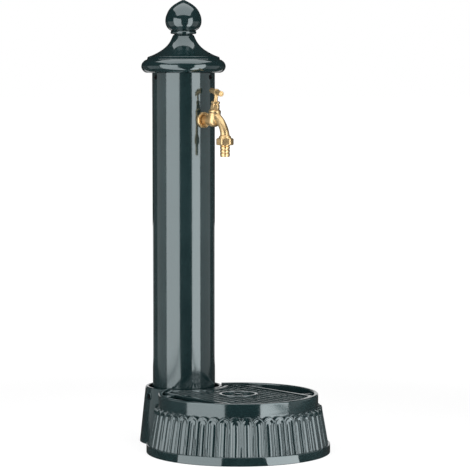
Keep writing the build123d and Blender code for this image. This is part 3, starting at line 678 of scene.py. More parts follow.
def tree_with(name, **kinds):
    """A geometry node tree with named inputs of some kinds, its graph, and its inputs' identifiers."""
    tree = bpy.data.node_groups.new(name, "GeometryNodeTree")
    face = tree.interface
    known = {}
    for kind, labels in kinds.items():
        for label in labels:
            socket = face.new_socket(name=label, in_out="INPUT", socket_type="NodeSocket" + kind)
            known[label] = socket.identifier
    face.new_socket(name="Geometry", in_out="OUTPUT", socket_type="NodeSocketGeometry")
    return tree, Graph(tree), known


def close_tree(graph, entry, geometry):
    """Ends a tree in real geometry with its material."""
    real = graph.add("GeometryNodeRealizeInstances", None, {"Geometry": geometry})["Geometry"]
    inputs = {"Geometry": real, "Material": entry["Material"]}
    done = graph.add("GeometryNodeSetMaterial", None, inputs)["Geometry"]
    graph.add("NodeGroupOutput", None, {"Geometry": done})


def copies_at(graph, entry, place, part, inputs):
    """Copies of an object at places that a rule gives, one for each number up to the tree's count."""
    points = graph.add("GeometryNodePoints", None, {"Count": entry["Count"], "Position": place})
    shape = graph.add("GeometryNodeObjectInfo", None, {"Object": entry[part]})["Geometry"]
    inputs = {"Points": points[0], "Instance": shape, **inputs}
    return graph.add("GeometryNodeInstanceOnPoints", None, inputs)["Instances"]


def run_tree(made, tree, known, values):
    """Runs a tree on an object and keeps the result as a plain mesh."""
    modifier = made.modifiers.new(tree.name, "NODES")
    modifier.node_group = tree
    for label, value in values.items():
        modifier[known[label]] = value
    made.update_tag()
    bpy.context.view_layer.update()
    mesh = plain_mesh(made)
    made.modifiers.clear()
    made.data = mesh


def around_tree():
    """Copies of a part on a circle about Z, each turned to its place and tilted."""
    tree, graph, known = tree_with("parts_around_an_axis", Object=["Part"], Int=["Count"],
                                   Float=["Start", "Radius", "Tilt"], Vector=["Centre"],
                                   Material=["Material"])
    entry = graph.add("NodeGroupInput")
    index = graph.add("GeometryNodeInputIndex")["Index"]
    angle = entry["Start"] + index * (2 * math.pi) / entry["Count"]
    across = graph.maths("COSINE", angle) * entry["Radius"]
    along = graph.maths("SINE", angle) * entry["Radius"]
    inputs = {0: graph.vector(across, along, 0.0), 1: entry["Centre"]}
    place = graph.add("ShaderNodeVectorMath", {"operation": "ADD"}, inputs)["Vector"]
    turn = graph.vector(0.0, entry["Tilt"], angle)
    rotation = graph.add("FunctionNodeEulerToRotation", None, {"Euler": turn})["Rotation"]
    close_tree(graph, entry, copies_at(graph, entry, place, "Part", {"Rotation": rotation}))
    return tree, known


def parts_around(name, draft, count, start, radius, centre, tilt, finish):
    """A plain mesh of a draft's copies on a circle, sizes in millimetres."""
    part = raw_object(name + "_part", draft.mesh(name + "_part"))
    made = raw_object(name, bpy.data.meshes.new(name))
    tree, known = around_tree()
    run_tree(made, tree, known, {
        "Part": part,
        "Count": count,
        "Start": start,
        "Radius": radius * MM,
        "Centre": [value * MM for value in centre],
        "Tilt": tilt,
        "Material": material_of(finish),
    })
    bpy.data.objects.remove(part)
    return made


# The flutes' finer lines, in metres
SWAY = 0.0022
HOLLOW_FLANK = (-0.0020, -0.0042)
REED_TIP_DROP = 0.0075
REED_TAPER = 0.6
CROWN_RISE = (0.0015, 0.0045)
BEAD_OFFSET = 0.0027
BEAD_HALF_WIDTH = 0.0012
BEAD_HEIGHT = 0.0016
PLAIN_RISE = (0.0, 0.0012)
PLAIN_EDGE = (0.0029, 0.0038)


def flute_tree():
    """Round-topped flutes with raised outlines, pressed into a band turned about the basin's axis."""
    sizes = ["Half width", "Depth", "Tongue width", "Tongue height", "Ridge width", "Ridge height",
             "Arch height", "Plain radius", "Reach"]
    tree, graph, known = tree_with("flutes_on_a_band", Geometry=["Geometry"], Int=["Count"], Float=sizes,
                                   Material=["Material"])
    entry = graph.add("NodeGroupInput")
    position = graph.add("GeometryNodeInputPosition")["Position"]
    parts = graph.add("ShaderNodeSeparateXYZ", None, {"Vector": position})
    x, y, z = parts["X"], parts["Y"] + entry["Reach"], parts["Z"]
    radius = graph.maths("SQRT", x * x + y * y)
    angle = graph.maths("ARCTAN2", x, -y)
    bay = (2 * math.pi) / entry["Count"]
    turns = angle / bay
    sway = (graph.noise(position, 30.0, 1.0) - 0.5) * SWAY
    along = (turns - graph.maths("FLOOR", turns) - 0.5) * bay * radius + sway
    half = entry["Half width"] * bay * radius
    rise = z - entry["Arch height"]
    above = graph.maths("MAXIMUM", rise, 0.0)
    edge = graph.maths("SQRT", along * along + above * above) - half
    hollow = entry["Depth"] * graph.smooth(edge, *HOLLOW_FLANK)
    tip = graph.maths("MAXIMUM", rise + REED_TIP_DROP, 0.0) * REED_TAPER
    reed = entry["Tongue width"] - graph.maths("SQRT", along * along + tip * tip)
    share = graph.add("ShaderNodeClamp", None, {"Value": reed / entry["Tongue width"]})["Result"]
    tongue = entry["Tongue height"] * share * (2.0 - share)
    near = graph.maths("MINIMUM", graph.maths("ABSOLUTE", edge) / entry["Ridge width"], 1.0)
    ridge = entry["Ridge height"] * (1.0 - near * near) * (1.0 - near * near)
    off = graph.maths("ABSOLUTE", edge - BEAD_OFFSET) / BEAD_HALF_WIDTH
    near = graph.maths("MINIMUM", off, 1.0)
    bead = (1.0 - near * near) * (1.0 - near * near) * graph.smooth(rise, *CROWN_RISE) * BEAD_HEIGHT
    dropped = graph.smooth(rise, *PLAIN_RISE) * graph.smooth(edge, *PLAIN_EDGE)
    fluted = radius + ridge + tongue + bead - hollow
    reach = fluted + (entry["Plain radius"] - fluted) * dropped
    place = graph.vector(x / radius * reach, y / radius * reach - entry["Reach"], z)
    chosen = graph.add("GeometryNodeInputNamedAttribute", {"data_type": "FLOAT"}, {"Name": "flute"})
    moved = graph.add("GeometryNodeSetPosition", None, {
        "Geometry": entry["Geometry"],
        "Selection": graph.maths("GREATER_THAN", chosen["Attribute"], 0.5),
        "Position": place,
    })["Geometry"]
    close_tree(graph, entry, moved)
    return tree, known


def bar_tree():
    """Bars side by side, each as long as the round plate allows at its place."""
    sizes = ["Pitch", "Round radius", "Hollow radius", "Reach", "Height"]
    tree, graph, known = tree_with("bars_in_a_round_plate", Geometry=["Geometry"], Object=["Bar"],
                                   Int=["Count"], Float=sizes, Material=["Material"])
    entry = graph.add("NodeGroupInput")
    index = graph.add("GeometryNodeInputIndex")["Index"]
    across = (index - (entry["Count"] - 1.0) * 0.5) * entry["Pitch"]
    front = graph.maths("SQRT", entry["Round radius"] * entry["Round radius"] - across * across)
    hollow = graph.maths("SQRT", entry["Hollow radius"] * entry["Hollow radius"] - across * across)
    back = graph.maths("MINIMUM", front, entry["Reach"] - hollow)
    place = graph.vector(across, -front - entry["Reach"], entry["Height"])
    copies = copies_at(graph, entry, place, "Bar", {"Scale": graph.vector(1.0, front + back, 1.0)})
    both = graph.add("GeometryNodeJoinGeometry")
    graph.plug(both.node.inputs[0], entry["Geometry"])
    graph.plug(both.node.inputs[0], copies)
    close_tree(graph, entry, both["Geometry"])
    return tree, known


# Pieces


def screw_turns():
    """The directions of the screws round the column, as turns of a form that stands on Z."""
    for step in range(SCREW_COUNT):
        turn = Matrix.Rotation(SCREW_START + step * 2 * math.pi / SCREW_COUNT, 4, "Z")
        yield turn @ Matrix.Rotation(math.pi / 2, 4, "Y")


class STANDPIPE_OT_column(Operator):
    """Makes the painted tube of the column"""

    bl_idname = "standpipe.column"
    bl_label = "Column"

    def execute(self, context):
        low_heights = (11, 60, 84, 89, 94, 99, 104, 200, 320, 440, 560, 680, 716)
        screw_heights = range(722, 737, 2)
        profile = [(COLUMN_RADIUS - EDGE_SOFT, COLUMN_BOTTOM)]
        profile += [(COLUMN_RADIUS, height) for height in (*low_heights, *screw_heights, 738.2)]
        profile += [(COLUMN_RADIUS - EDGE_SOFT, COLUMN_TOP)]
        bore_heights = (COLUMN_TOP, 735, 725, 680, 400, 110, 80, COLUMN_BOTTOM)
        profile += [(COLUMN_BORE, height) for height in bore_heights]
        tube = Draft().turn(profile, steps=240, closed=True)
        made = raw_object("column_tube_painted", tube.mesh("column"))
        cutter = Draft()
        for outwards in screw_turns():
            for radius, height in ((5.1, CAP_SCREW_HEIGHT), (3.05, FOOT_SCREW_HEIGHT)):
                cutter.rod(radius, 50, 70, Matrix.Translation((0, 0, height)) @ outwards)
        cutter.rod(10.95, 50, 70, INLET_PLACE, 48)
        cut(made, cutter)
        finish_piece(made, "post", "tube paint", "column_tube", sharp=30.0)
        return {"FINISHED"}


def foot_radius(height):
    """The foot's outer radius at a height."""
    return FOOT_BASE_RADIUS + (FOOT_TOP_RADIUS - FOOT_BASE_RADIUS) * height / FOOT_HEIGHT


class STANDPIPE_OT_foot(Operator):
    """Makes the tapered foot casting"""

    bl_idname = "standpipe.foot"
    bl_label = "Foot"

    def execute(self, context):
        heights = (4, 10, 18, 30, 50, 70, 78, 82, 86, 90, 94, 98, 102, 106)
        corners = [(foot_radius(0) - 0.2, 0.0, 1.0)]
        corners += [(foot_radius(height), height) for height in heights]
        corners += [
            (foot_radius(FOOT_HEIGHT), FOOT_HEIGHT, 2.2),
            (FOOT_TOP_RADIUS - FOOT_WALL, FOOT_HEIGHT, 1.8),
            (FOOT_TOP_RADIUS - FOOT_WALL, 104.0),
            (73.0, 84.0),
            (81.4, 14.0),
            (79.0, 10.0, 2.0),
            (59.1, 10.0, 1.0),
            (59.1, 60.0, 1.0),
            (53.1, 60.0, 1.0),
            (53.1, 10.0),
            (15.0, 10.0),
            (15.0, 0.0),
        ]
        foot = Draft().turn(rounded(corners, True), steps=200, closed=True)
        made = raw_object("foot_casting", foot.mesh("foot"))
        cutter = Draft()
        face = foot_radius(FOOT_SCREW_HEIGHT) + BOSS_STAND
        seat = face - SCREW_SINK
        bosses = Draft()
        for outwards in screw_turns():
            place = Matrix.Translation((0, 0, FOOT_SCREW_HEIGHT)) @ outwards
            boss = [(0, face - 6.8), (9.0, face - 6.8), (9.0, face, 0.8), (0, face)]
            bosses.turn(rounded(boss), place, 48)
            cutter.turn([(0, 60), (4.05, 60), (4.05, seat), (6, seat), (6, 95), (0, 95)], place, 40)
        for step in range(ANCHOR_COUNT):
            angle = math.radians(45 + 90 * step)
            across, along = ANCHOR_CIRCLE * math.cos(angle), ANCHOR_CIRCLE * math.sin(angle)
            cutter.rod(5.5, -2, 12, Matrix.Translation((across, along, 0)), 32)
        cut(made, bosses, "UNION")
        cut(made, cutter)
        finish_piece(made, "post", "casting paint", "column_foot", sharp=34.0)
        return {"FINISHED"}


HALF_BAY_SHARES = (0.0, 0.05, 0.1, 0.145, 0.185, 0.215, 0.245, 0.275, 0.305, 0.33, 0.355, 0.38,
                   0.405, 0.435, 0.468)
BAY_SHARES = [-0.5] + [-share for share in reversed(HALF_BAY_SHARES)] + list(HALF_BAY_SHARES[1:])
COARSE_PICKS = (0, 9, 15, 21)
FULL_BAYS = 48
FLUTED_BAYS = 40
END_COLUMNS = 3
BASIN_FLOOR = 32.0
BASIN_UNDER = 26.0
WASTE_RADIUS = 17.1
LEDGE_ALONG = 77.0
COLLAR_HALF_ANGLE = 66


def shoulder_reach(radius):
    """How far from the middle line a circle lies beside the grate's shoulders."""
    return math.sqrt(radius ** 2 - LEDGE_ALONG ** 2)


def add_lugs(draft, near, far, bottom, top, soft):
    """Four blocks at the grate's shoulders, between two distances from the middle line."""
    for side in (-1, 1):
        low, high = sorted((side * near, side * far))
        for along in (-LEDGE_ALONG, LEDGE_ALONG):
            draft.box((low, along - 6.0, bottom), (high, along + 6.0, top), soft, BASIN_PLACE)


def flute_radius(height):
    """The fluted band's radius at a height."""
    share = (height - PLINTH_HEIGHT) / (FLUTE_TOP - PLINTH_HEIGHT)
    return FLUTE_BASE_RADIUS + (FLUTE_TOP_RADIUS - FLUTE_BASE_RADIUS) * share


def basin_section():
    """The basin's section as a closed loop of (radius, height, whether it is fluted)."""
    plinth = rounded([(172.6, 0.0), (179.5, 0.0, 1.0), (179.5, PLINTH_HEIGHT, 1.6),
                      (175.0, PLINTH_HEIGHT)])
    band_heights = [17.0, 17.6, 18.8, 22.0, 28.0, 34.0, 40.0, 46.0, 52.0, 58.0, 64.0, 68.0, 70.5, 72.5]
    band_heights += [73.6 + 0.7 * step for step in range(28)]
    band = [(flute_radius(height), height) for height in band_heights]
    rim = rounded([
        (RIM_RADIUS, 93.0), (RIM_RADIUS, 97.0), (RIM_RADIUS, 104.0), (RIM_RADIUS, BASIN_HEIGHT, 2.8),
        (RIM_RADIUS - RIM_WIDTH, BASIN_HEIGHT, 2.4), (RIM_RADIUS - RIM_WIDTH, 104.0),
        (RIM_RADIUS - RIM_WIDTH, 84.0, 3.0),
        (157.5, 66.0), (161.5, 48.0), (164.8, 33.0, 3.0), (158.0, BASIN_FLOOR),
    ])
    top_edge = BASIN_REACH - foot_radius(BASIN_FLOOR) - CASTING_GAP
    under_edge = BASIN_REACH - foot_radius(BASIN_UNDER) - CASTING_GAP
    spread = (0.0, 0.4, 1.6, 4.0, 8.0, 15.0, 26.0, 40.0, 56.0)
    floor_radii = [top_edge + step for step in reversed(spread)] + [top_edge - 6.0, 60.0, 27.0]
    floor = [(radius, BASIN_FLOOR) for radius in floor_radii]
    floor += [(26.5, 31.6), (26.5, 29.5), (WASTE_RADIUS, 29.5)]
    under_radii = [WASTE_RADIUS, 40.0, under_edge - 8.0] + [under_edge + step for step in spread]
    under = [(radius, BASIN_UNDER) for radius in under_radii + [160.0, 165.9]] + [(167.5, 17.0)]
    section = [(*point, False) for point in plinth] + [(*point, True) for point in band]
    return section + [(*point, False) for point in rim + floor + under]


def basin_cut_angle(radius, height):
    """How far from the column's direction the basin ends at the foot, for a radius and a height."""
    foot = foot_radius(height) + CASTING_GAP
    cosine = (radius ** 2 + BASIN_REACH ** 2 - foot ** 2) / (2 * radius * BASIN_REACH)
    return math.acos(min(1.0, cosine)) if radius > BASIN_REACH - foot - 1e-6 else 0.0


def basin_columns(radius, height, fine):
    """The angles of one row's points, from one side of the foot round the front to the other."""
    bay = 2 * math.pi / FULL_BAYS
    shares = BAY_SHARES if fine else [BAY_SHARES[pick] for pick in COARSE_PICKS]
    middle = [(index + 0.5 - FLUTED_BAYS / 2 + share) * bay
              for index in range(FLUTED_BAYS) for share in shares]
    middle.append(FLUTED_BAYS / 2 * bay)
    end = math.pi - basin_cut_angle(radius, height)
    extra = [middle[-1] + (end - middle[-1]) * (step + 1) / END_COLUMNS
             for step in range(END_COLUMNS)]
    return [-angle for angle in reversed(extra)] + middle + extra


def matching_column(column, fine):
    """The place in a fine or coarse row of a coarse row's column."""
    if not fine or column <= END_COLUMNS:
        return column
    inner = min(column - END_COLUMNS, FLUTED_BAYS * len(COARSE_PICKS))
    bay, part = divmod(inner, len(COARSE_PICKS))
    return END_COLUMNS + bay * len(BAY_SHARES) + COARSE_PICKS[part] + column - END_COLUMNS - inner


def stitch(low, high):
    """The faces between two rows, each given as (first point, number of points, whether it is fine)."""
    if low[2] == high[2]:
        return [(low[0] + step, low[0] + step + 1, high[0] + step + 1, high[0] + step)
                for step in range(low[1] - 1)]
    faces = []
    for column in range(min(low[1], high[1]) - 1):
        under = range(matching_column(column, low[2]), matching_column(column + 1, low[2]) + 1)
        over = range(matching_column(column, high[2]), matching_column(column + 1, high[2]) + 1)
        corners = [low[0] + place for place in under] + [high[0] + place for place in reversed(over)]
        faces.append(tuple(corners))
    return faces


class STANDPIPE_OT_basin(Operator):
    """Makes the fluted basin, its collar round the foot and the ledges for the grate"""

    bl_idname = "standpipe.basin"
    bl_label = "Basin"

    def execute(self, context):
        flutes = context.scene.standpipe_flutes
        section = basin_section()
        points, faces, marks, rows = [], [], [], []
        for radius, height, fluted in section:
            angles = basin_columns(radius, height, fluted)
            rows.append((len(points), len(angles), fluted))
            for angle in angles:
                points.append((radius * math.sin(angle), -radius * math.cos(angle), height))
                marks.append(fluted)
        count = len(rows)
        for row in range(count):
            faces += stitch(rows[row], rows[(row + 1) % count])
        closed_rows = [row for row in range(count) if basin_cut_angle(*section[row][:2]) == 0]
        chain = list(range(closed_rows[-1], count)) + list(range(closed_rows[0] + 1))
        outline = [Vector((section[row][0], section[row][1], 0)) for row in chain]
        for triangle in tessellate_polygon([outline]):
            ends = [rows[chain[corner]] for corner in triangle]
            faces.append(tuple(start for start, _, _ in ends))
            faces.append(tuple(start + length - 1 for start, length, _ in ends))
        mesh = bpy.data.meshes.new("basin_shell")
        mesh.from_pydata([tuple((BASIN_PLACE @ Vector(point)) * MM) for point in points], [], faces)
        mark = mesh.attributes.new("flute", "FLOAT", "POINT")
        mark.data.foreach_set("value", [1.0 if fluted else 0.0 for fluted in marks])
        made = raw_object("basin_casting", clean(mesh, 0.0004))
        tree, known = flute_tree()
        values = {
            "Plain radius": RIM_RADIUS * MM,
            "Reach": BASIN_REACH * MM,
            "Material": material_of("basin paint"),
        }
        for key in StandpipeFlutes.__annotations__:
            values[key.replace("_", " ").capitalize()] = getattr(flutes, key)
        run_tree(made, tree, known, values)
        extras = Draft()
        self.add_collar(extras)
        inner = shoulder_reach(RIM_RADIUS - RIM_WIDTH)
        add_lugs(extras, inner - 16.0, inner + 3.5, 95.0, GRATE_BOTTOM, 1.2)
        join_into(made, raw_object("basin_extras", extras.mesh("basin_extras")))
        finish_piece(made, "post", "basin paint", "basin", sharp=60.0)
        return {"FINISHED"}

    def add_collar(self, extras):
        """The wall that stands round the foot, inside the basin."""
        steps = 72
        section = rounded([(0.4, 4.0, 1.0), (0.4, 44.0, 1.0), (6.4, 44.0, 1.5), (6.4, 4.0, 1.5)], True, 3)
        points, faces = [], []
        for out, height in section:
            radius = foot_radius(height) + out
            for step in range(steps + 1):
                angle = math.radians((2 * step / steps - 1) * COLLAR_HALF_ANGLE)
                points.append((radius * math.sin(angle), -radius * math.cos(angle), height))
        count = len(section)
        for row in range(count):
            low, high = row * (steps + 1), (row + 1) % count * (steps + 1)
            for step in range(steps):
                faces.append((low + step, low + step + 1, high + step + 1, high + step))
        faces.append(tuple(row * (steps + 1) for row in range(count)))
        faces.append(tuple(row * (steps + 1) + steps for row in reversed(range(count))))
        extras.add(points, faces)


def join_into(made, *others):
    """Joins other objects' meshes into one object."""
    bm = bmesh.new()
    for each in (made, *others):
        bm.from_mesh(each.data)
    mesh = bpy.data.meshes.new(made.name)
    bm.to_mesh(mesh)
    bm.free()
    made.data = mesh
    for each in others:
        bpy.data.objects.remove(each)


def plate_object(name, loops, bottom, top, edge):
    """A flat plate from closed loops in millimetres, the first the outline, with rounded edges."""
    curve = bpy.data.curves.new(name, "CURVE")
    curve.dimensions = "2D"
    curve.fill_mode = "BOTH"
    for loop in loops:
        spline = curve.splines.new("POLY")
        spline.points.add(len(loop) - 1)
        for point, (x, y) in zip(spline.points, loop):
            point.co = (x * MM, y * MM, 0, 1)
        spline.use_cyclic_u = True
    half = (top - bottom) / 2
    curve.extrude = (half - edge) * MM
    curve.bevel_depth = edge * MM
    curve.bevel_resolution = 2
    curve.offset = -edge * MM
    made = raw_object(name, curve)
    mesh = plain_mesh(made)
    bpy.data.objects.remove(made)
    mesh.transform(Matrix.Translation((0, -BASIN_REACH * MM, (bottom + top) / 2 * MM)))
    return raw_object(name, clean(mesh, 0.001))


CROSS_BAR_ALONG = 62.0


def arc(radius, start, stop, steps, along=0.0):
    """Points on an arc, its angles measured from the front."""
    angles = [start + (stop - start) * step / steps for step in range(steps + 1)]
    return [(radius * math.sin(angle), along - radius * math.cos(angle)) for angle in angles]


def grate_outline(inset):
    """The plate's outline, drawn in by an inset: straight sides, round ends, hollow at the foot."""
    radius = GRATE_RADIUS - inset
    half = GRATE_HALF_WIDTH - inset
    hollow = foot_radius(GRATE_BOTTOM) + 2.0 + inset
    corner = math.asin(half / radius)
    across = min(half, math.sqrt(max(0.0, radius ** 2 - meet_height(radius, hollow) ** 2)))
    reach = math.asin(across / hollow)
    loop = arc(radius, -corner, corner, 40)
    foot_side = arc(hollow, reach, -reach, 40, BASIN_REACH)
    if across == half:
        return loop + foot_side
    stop = math.asin(across / radius)
    loop += arc(radius, math.pi - corner, math.pi - stop, 7)
    return loop + foot_side + arc(radius, math.pi + stop, math.pi + corner, 7)


def meet_height(radius, hollow):
    """How far along the plate its round end meets the hollow at the foot."""
    return (radius ** 2 - hollow ** 2 + BASIN_REACH ** 2) / (2 * BASIN_REACH)


class STANDPIPE_OT_grate(Operator):
    """Makes the loose grate with its bars and its rosette"""

    bl_idname = "standpipe.grate"
    bl_label = "Grate"

    def execute(self, context):
        look = context.scene.standpipe_grate
        frame_plate = plate_object("grate_casting", [grate_outline(0.0), grate_outline(9.0)],
                                   GRATE_BOTTOM, GRATE_TOP, 1.2)
        bar = Draft()
        half = look.bar_width / MM / 2
        section = [(-half, -6.6), (half, -6.6), (half, -1.0), (half * 0.8, -0.3), (half * 0.5, 0.0)]
        section += [(-x, z) for x, z in reversed(section[2:])]
        count = len(section)
        points = [(x, y / MM, z) for y in (0.0, 1.0) for x, z in section]
        faces = [(i, (i + 1) % count, (i + 1) % count + count, i + count) for i in range(count)]
        faces += [tuple(reversed(range(count))), tuple(range(count, 2 * count))]
        bar.add(points, faces)
        bar_object = raw_object("grate_bar", bar.mesh("grate_bar"))
        tree, known = bar_tree()
        run_tree(frame_plate, tree, known, {
            "Bar": bar_object,
            "Count": look.bars,
            "Pitch": look.bar_pitch,
            "Round radius": (GRATE_RADIUS - 4.5) * MM,
            "Hollow radius": (foot_radius(GRATE_BOTTOM) + 6.5) * MM,
            "Reach": BASIN_REACH * MM,
            "Height": GRATE_TOP * MM,
            "Material": material_of("casting paint"),
        })
        bpy.data.objects.remove(bar_object)
        rest = Draft()
        for along in (-CROSS_BAR_ALONG, CROSS_BAR_ALONG):
            rest.box((-95.0, along - 2.5, 105.6), (95.0, along + 2.5, 111.6), 1.2, BASIN_PLACE)
        add_lugs(rest, 93.0, shoulder_reach(GRATE_RADIUS) - 2.2, GRATE_BOTTOM, 111.8, 1.8)
        ring = [(31.6, 106.0), (31.6, 112.4, 1.0), (38.6, 112.4, 1.0), (38.6, 106.0, 0.6)]
        raised = [(32.4, 111.0), (32.4, 113.5, 0.9), (37.6, 113.5, 0.9), (37.6, 111.0)]
        hub = [(0, 105.6), (10.5, 105.6), (10.5, 112.0, 1.0), (8.4, 112.0), (6.6, 113.2), (3.0, 113.5),
               (0, 113.5)]
        rest.turn(rounded(ring, True), BASIN_PLACE, 96, closed=True)
        rest.turn(rounded(raised, True), BASIN_PLACE, 96, closed=True)
        rest.turn(rounded(hub), BASIN_PLACE, 64)
        others = raw_object("grate_rest", rest.mesh("grate_rest"))
        petal = Draft()
        rows = ((0.0, 1.6, 0.6), (3.0, 2.3, 1.0), (8.0, 3.5, 1.4), (13.0, 4.6, 1.3), (18.0, 5.2, 0.9),
                (22.5, 4.4, 0.7))
        points, faces = [], []
        for out, wide, high in rows:
            half = [(wide, -5.6), (wide, -0.6), (wide * 0.5, high * 0.4)]
            points += [(out, -across, height) for across, height in half] + [(out, 0, high)]
            points += [(out, across, height) for across, height in reversed(half)]
        for row in range(len(rows) - 1):
            low, high = row * 7, row * 7 + 7
            faces += [(low + i, low + (i + 1) % 7, high + (i + 1) % 7, high + i) for i in range(7)]
        faces += [tuple(reversed(range(7))), tuple(range(len(points) - 7, len(points)))]
        petal.add(points, faces)
        petals = parts_around("petals", petal, look.petals, math.pi / 8, 9.6,
                              (0.0, -BASIN_REACH, GRATE_TOP - 0.2), 0.0, "casting paint")
        join_into(frame_plate, others, petals)
        frame_plate.name = "grate_casting"
        finish_piece(frame_plate, "grate", "casting paint", "grate", sharp=42.0)
        return {"FINISHED"}


CAP_RING = ((75.4, 739.5), (78.4, 741.0), (81.3, 743.8), (83.4, 747.6), (84.1, 751.7), (83.4, 755.9),
            (81.3, 759.7), (78.4, 762.5), (76.0, 764.2))
CAP_BELL = ((69.5, 771.0), (59.0, 775.0), (51.4, 779.0), (44.8, 783.0), (39.2, 787.0), (34.6, 791.0),
            (31.0, 795.0), (28.0, 799.0), (25.6, 803.0), (23.6, 807.0), (21.9, 811.0), (20.6, 813.2))
ONION = ((24.6, 822.5), (29.4, 825.4), (33.2, 830.0), (35.5, 836.0), (36.1, 842.0), (35.4, 849.0),
         (33.4, 855.0), (30.9, 860.5), (27.6, 865.6), (23.6, 870.0), (18.4, 874.2), (12.4, 878.0),
         (6.6, 881.2), (3.6, 882.6))


class STANDPIPE_OT_cap(Operator):
    """Makes the bell cap and its onion finial"""

    bl_idname = "standpipe.cap"
    bl_label = "Cap and finial"

    def execute(self, context):
        lower = rounded([(54.1, 714.2), (59.0, 714.2, 0.8), (59.0, 739.2), (74.8, 739.2)])
        lower += through(CAP_RING, 5)
        lower += rounded([(75.4, 764.6), (73.4, 764.8, 0.5), (72.7, 765.6, 0.5), (71.3, 770.3, 1.2),
                          (67.0, 771.8)])
        neck = rounded([(20.0, 814.0), (18.6, 814.6), (18.4, 815.8), (5.5, 815.8), (5.5, 806.0),
                        (13.0, 806.0), (27.0, 762.0), (54.1, 762.0)])
        profile = lower + through(CAP_BELL[1:], 4) + neck
        cap = Draft().turn(profile, steps=200, closed=True)
        piece_from(cap, "cap_casting", "post", "casting paint", "cap", sharp=48.0)
        collar = rounded([(0, 816.0), (24.8, 816.0, 1.0), (25.9, 819.0, 1.6), (24.6, 822.3, 0.8),
                          (23.4, 822.6)])
        top = through(((3.6, 882.6), (2.3, 883.7), (0.9, 884.3)), 3) + [(0, 884.4)]
        finial = Draft().turn(collar + through(ONION, 4) + top[1:], steps=144)
        piece_from(finial, "finial_casting", "post", "casting paint", "finial", sharp=48.0)
        return {"FINISHED"}


def socket_screw(radius, bottom, top, flats, depth, shank, shank_end):
    """A screw with a round head and a hexagon socket, its head's top at a height."""
    flat_socket = flat_sided(flats, top - depth, top - 0.2, soft=0.02)

    def limit(angle, reach, height):
        return flat_socket(angle, reach, height) if reach < flats else reach

    corner = flats / 2 / math.cos(math.pi / 6) + 0.1
    profile = rounded([(0, shank_end), (shank, shank_end, 0.4), (shank, bottom), (radius, bottom, 0.3),
                       (radius, top, 0.6), (corner, top, 0.15), (corner, top - depth), (0, top - depth)])
    return Draft().turn(profile, steps=48, limit=limit)


class STANDPIPE_OT_screws(Operator):
    """Makes the screws round the cap and the foot"""

    bl_idname = "standpipe.screws"
    bl_label = "Screws"

    def execute(self, context):
        upright = math.pi / 2
        cap_screw = socket_screw(4.6, 0.0, 4.4, 4.6, 2.4, 3.0, -8.0)
        made = parts_around("cap_screws_shown", cap_screw, SCREW_COUNT, SCREW_START, 59.1,
                            (0, 0, CAP_SCREW_HEIGHT), upright, "black steel")
        finish_piece(made, "post", "black steel", "cap_screws")
        face = foot_radius(FOOT_SCREW_HEIGHT) + BOSS_STAND - SCREW_SINK
        foot_screw = socket_screw(5.5, 0.0, 3.0, 5.5, 2.2, 4.0, 62.9 - face)
        made = parts_around("foot_screws_shown", foot_screw, SCREW_COUNT, SCREW_START, face,
                            (0, 0, FOOT_SCREW_HEIGHT), upright, "black steel")
        finish_piece(made, "post", "black steel", "foot_screws")
        return {"FINISHED"}


FLANGE_SEAT = 62.8
BOSS_RADIUS = 4.2
BODY_VOXEL = 0.42


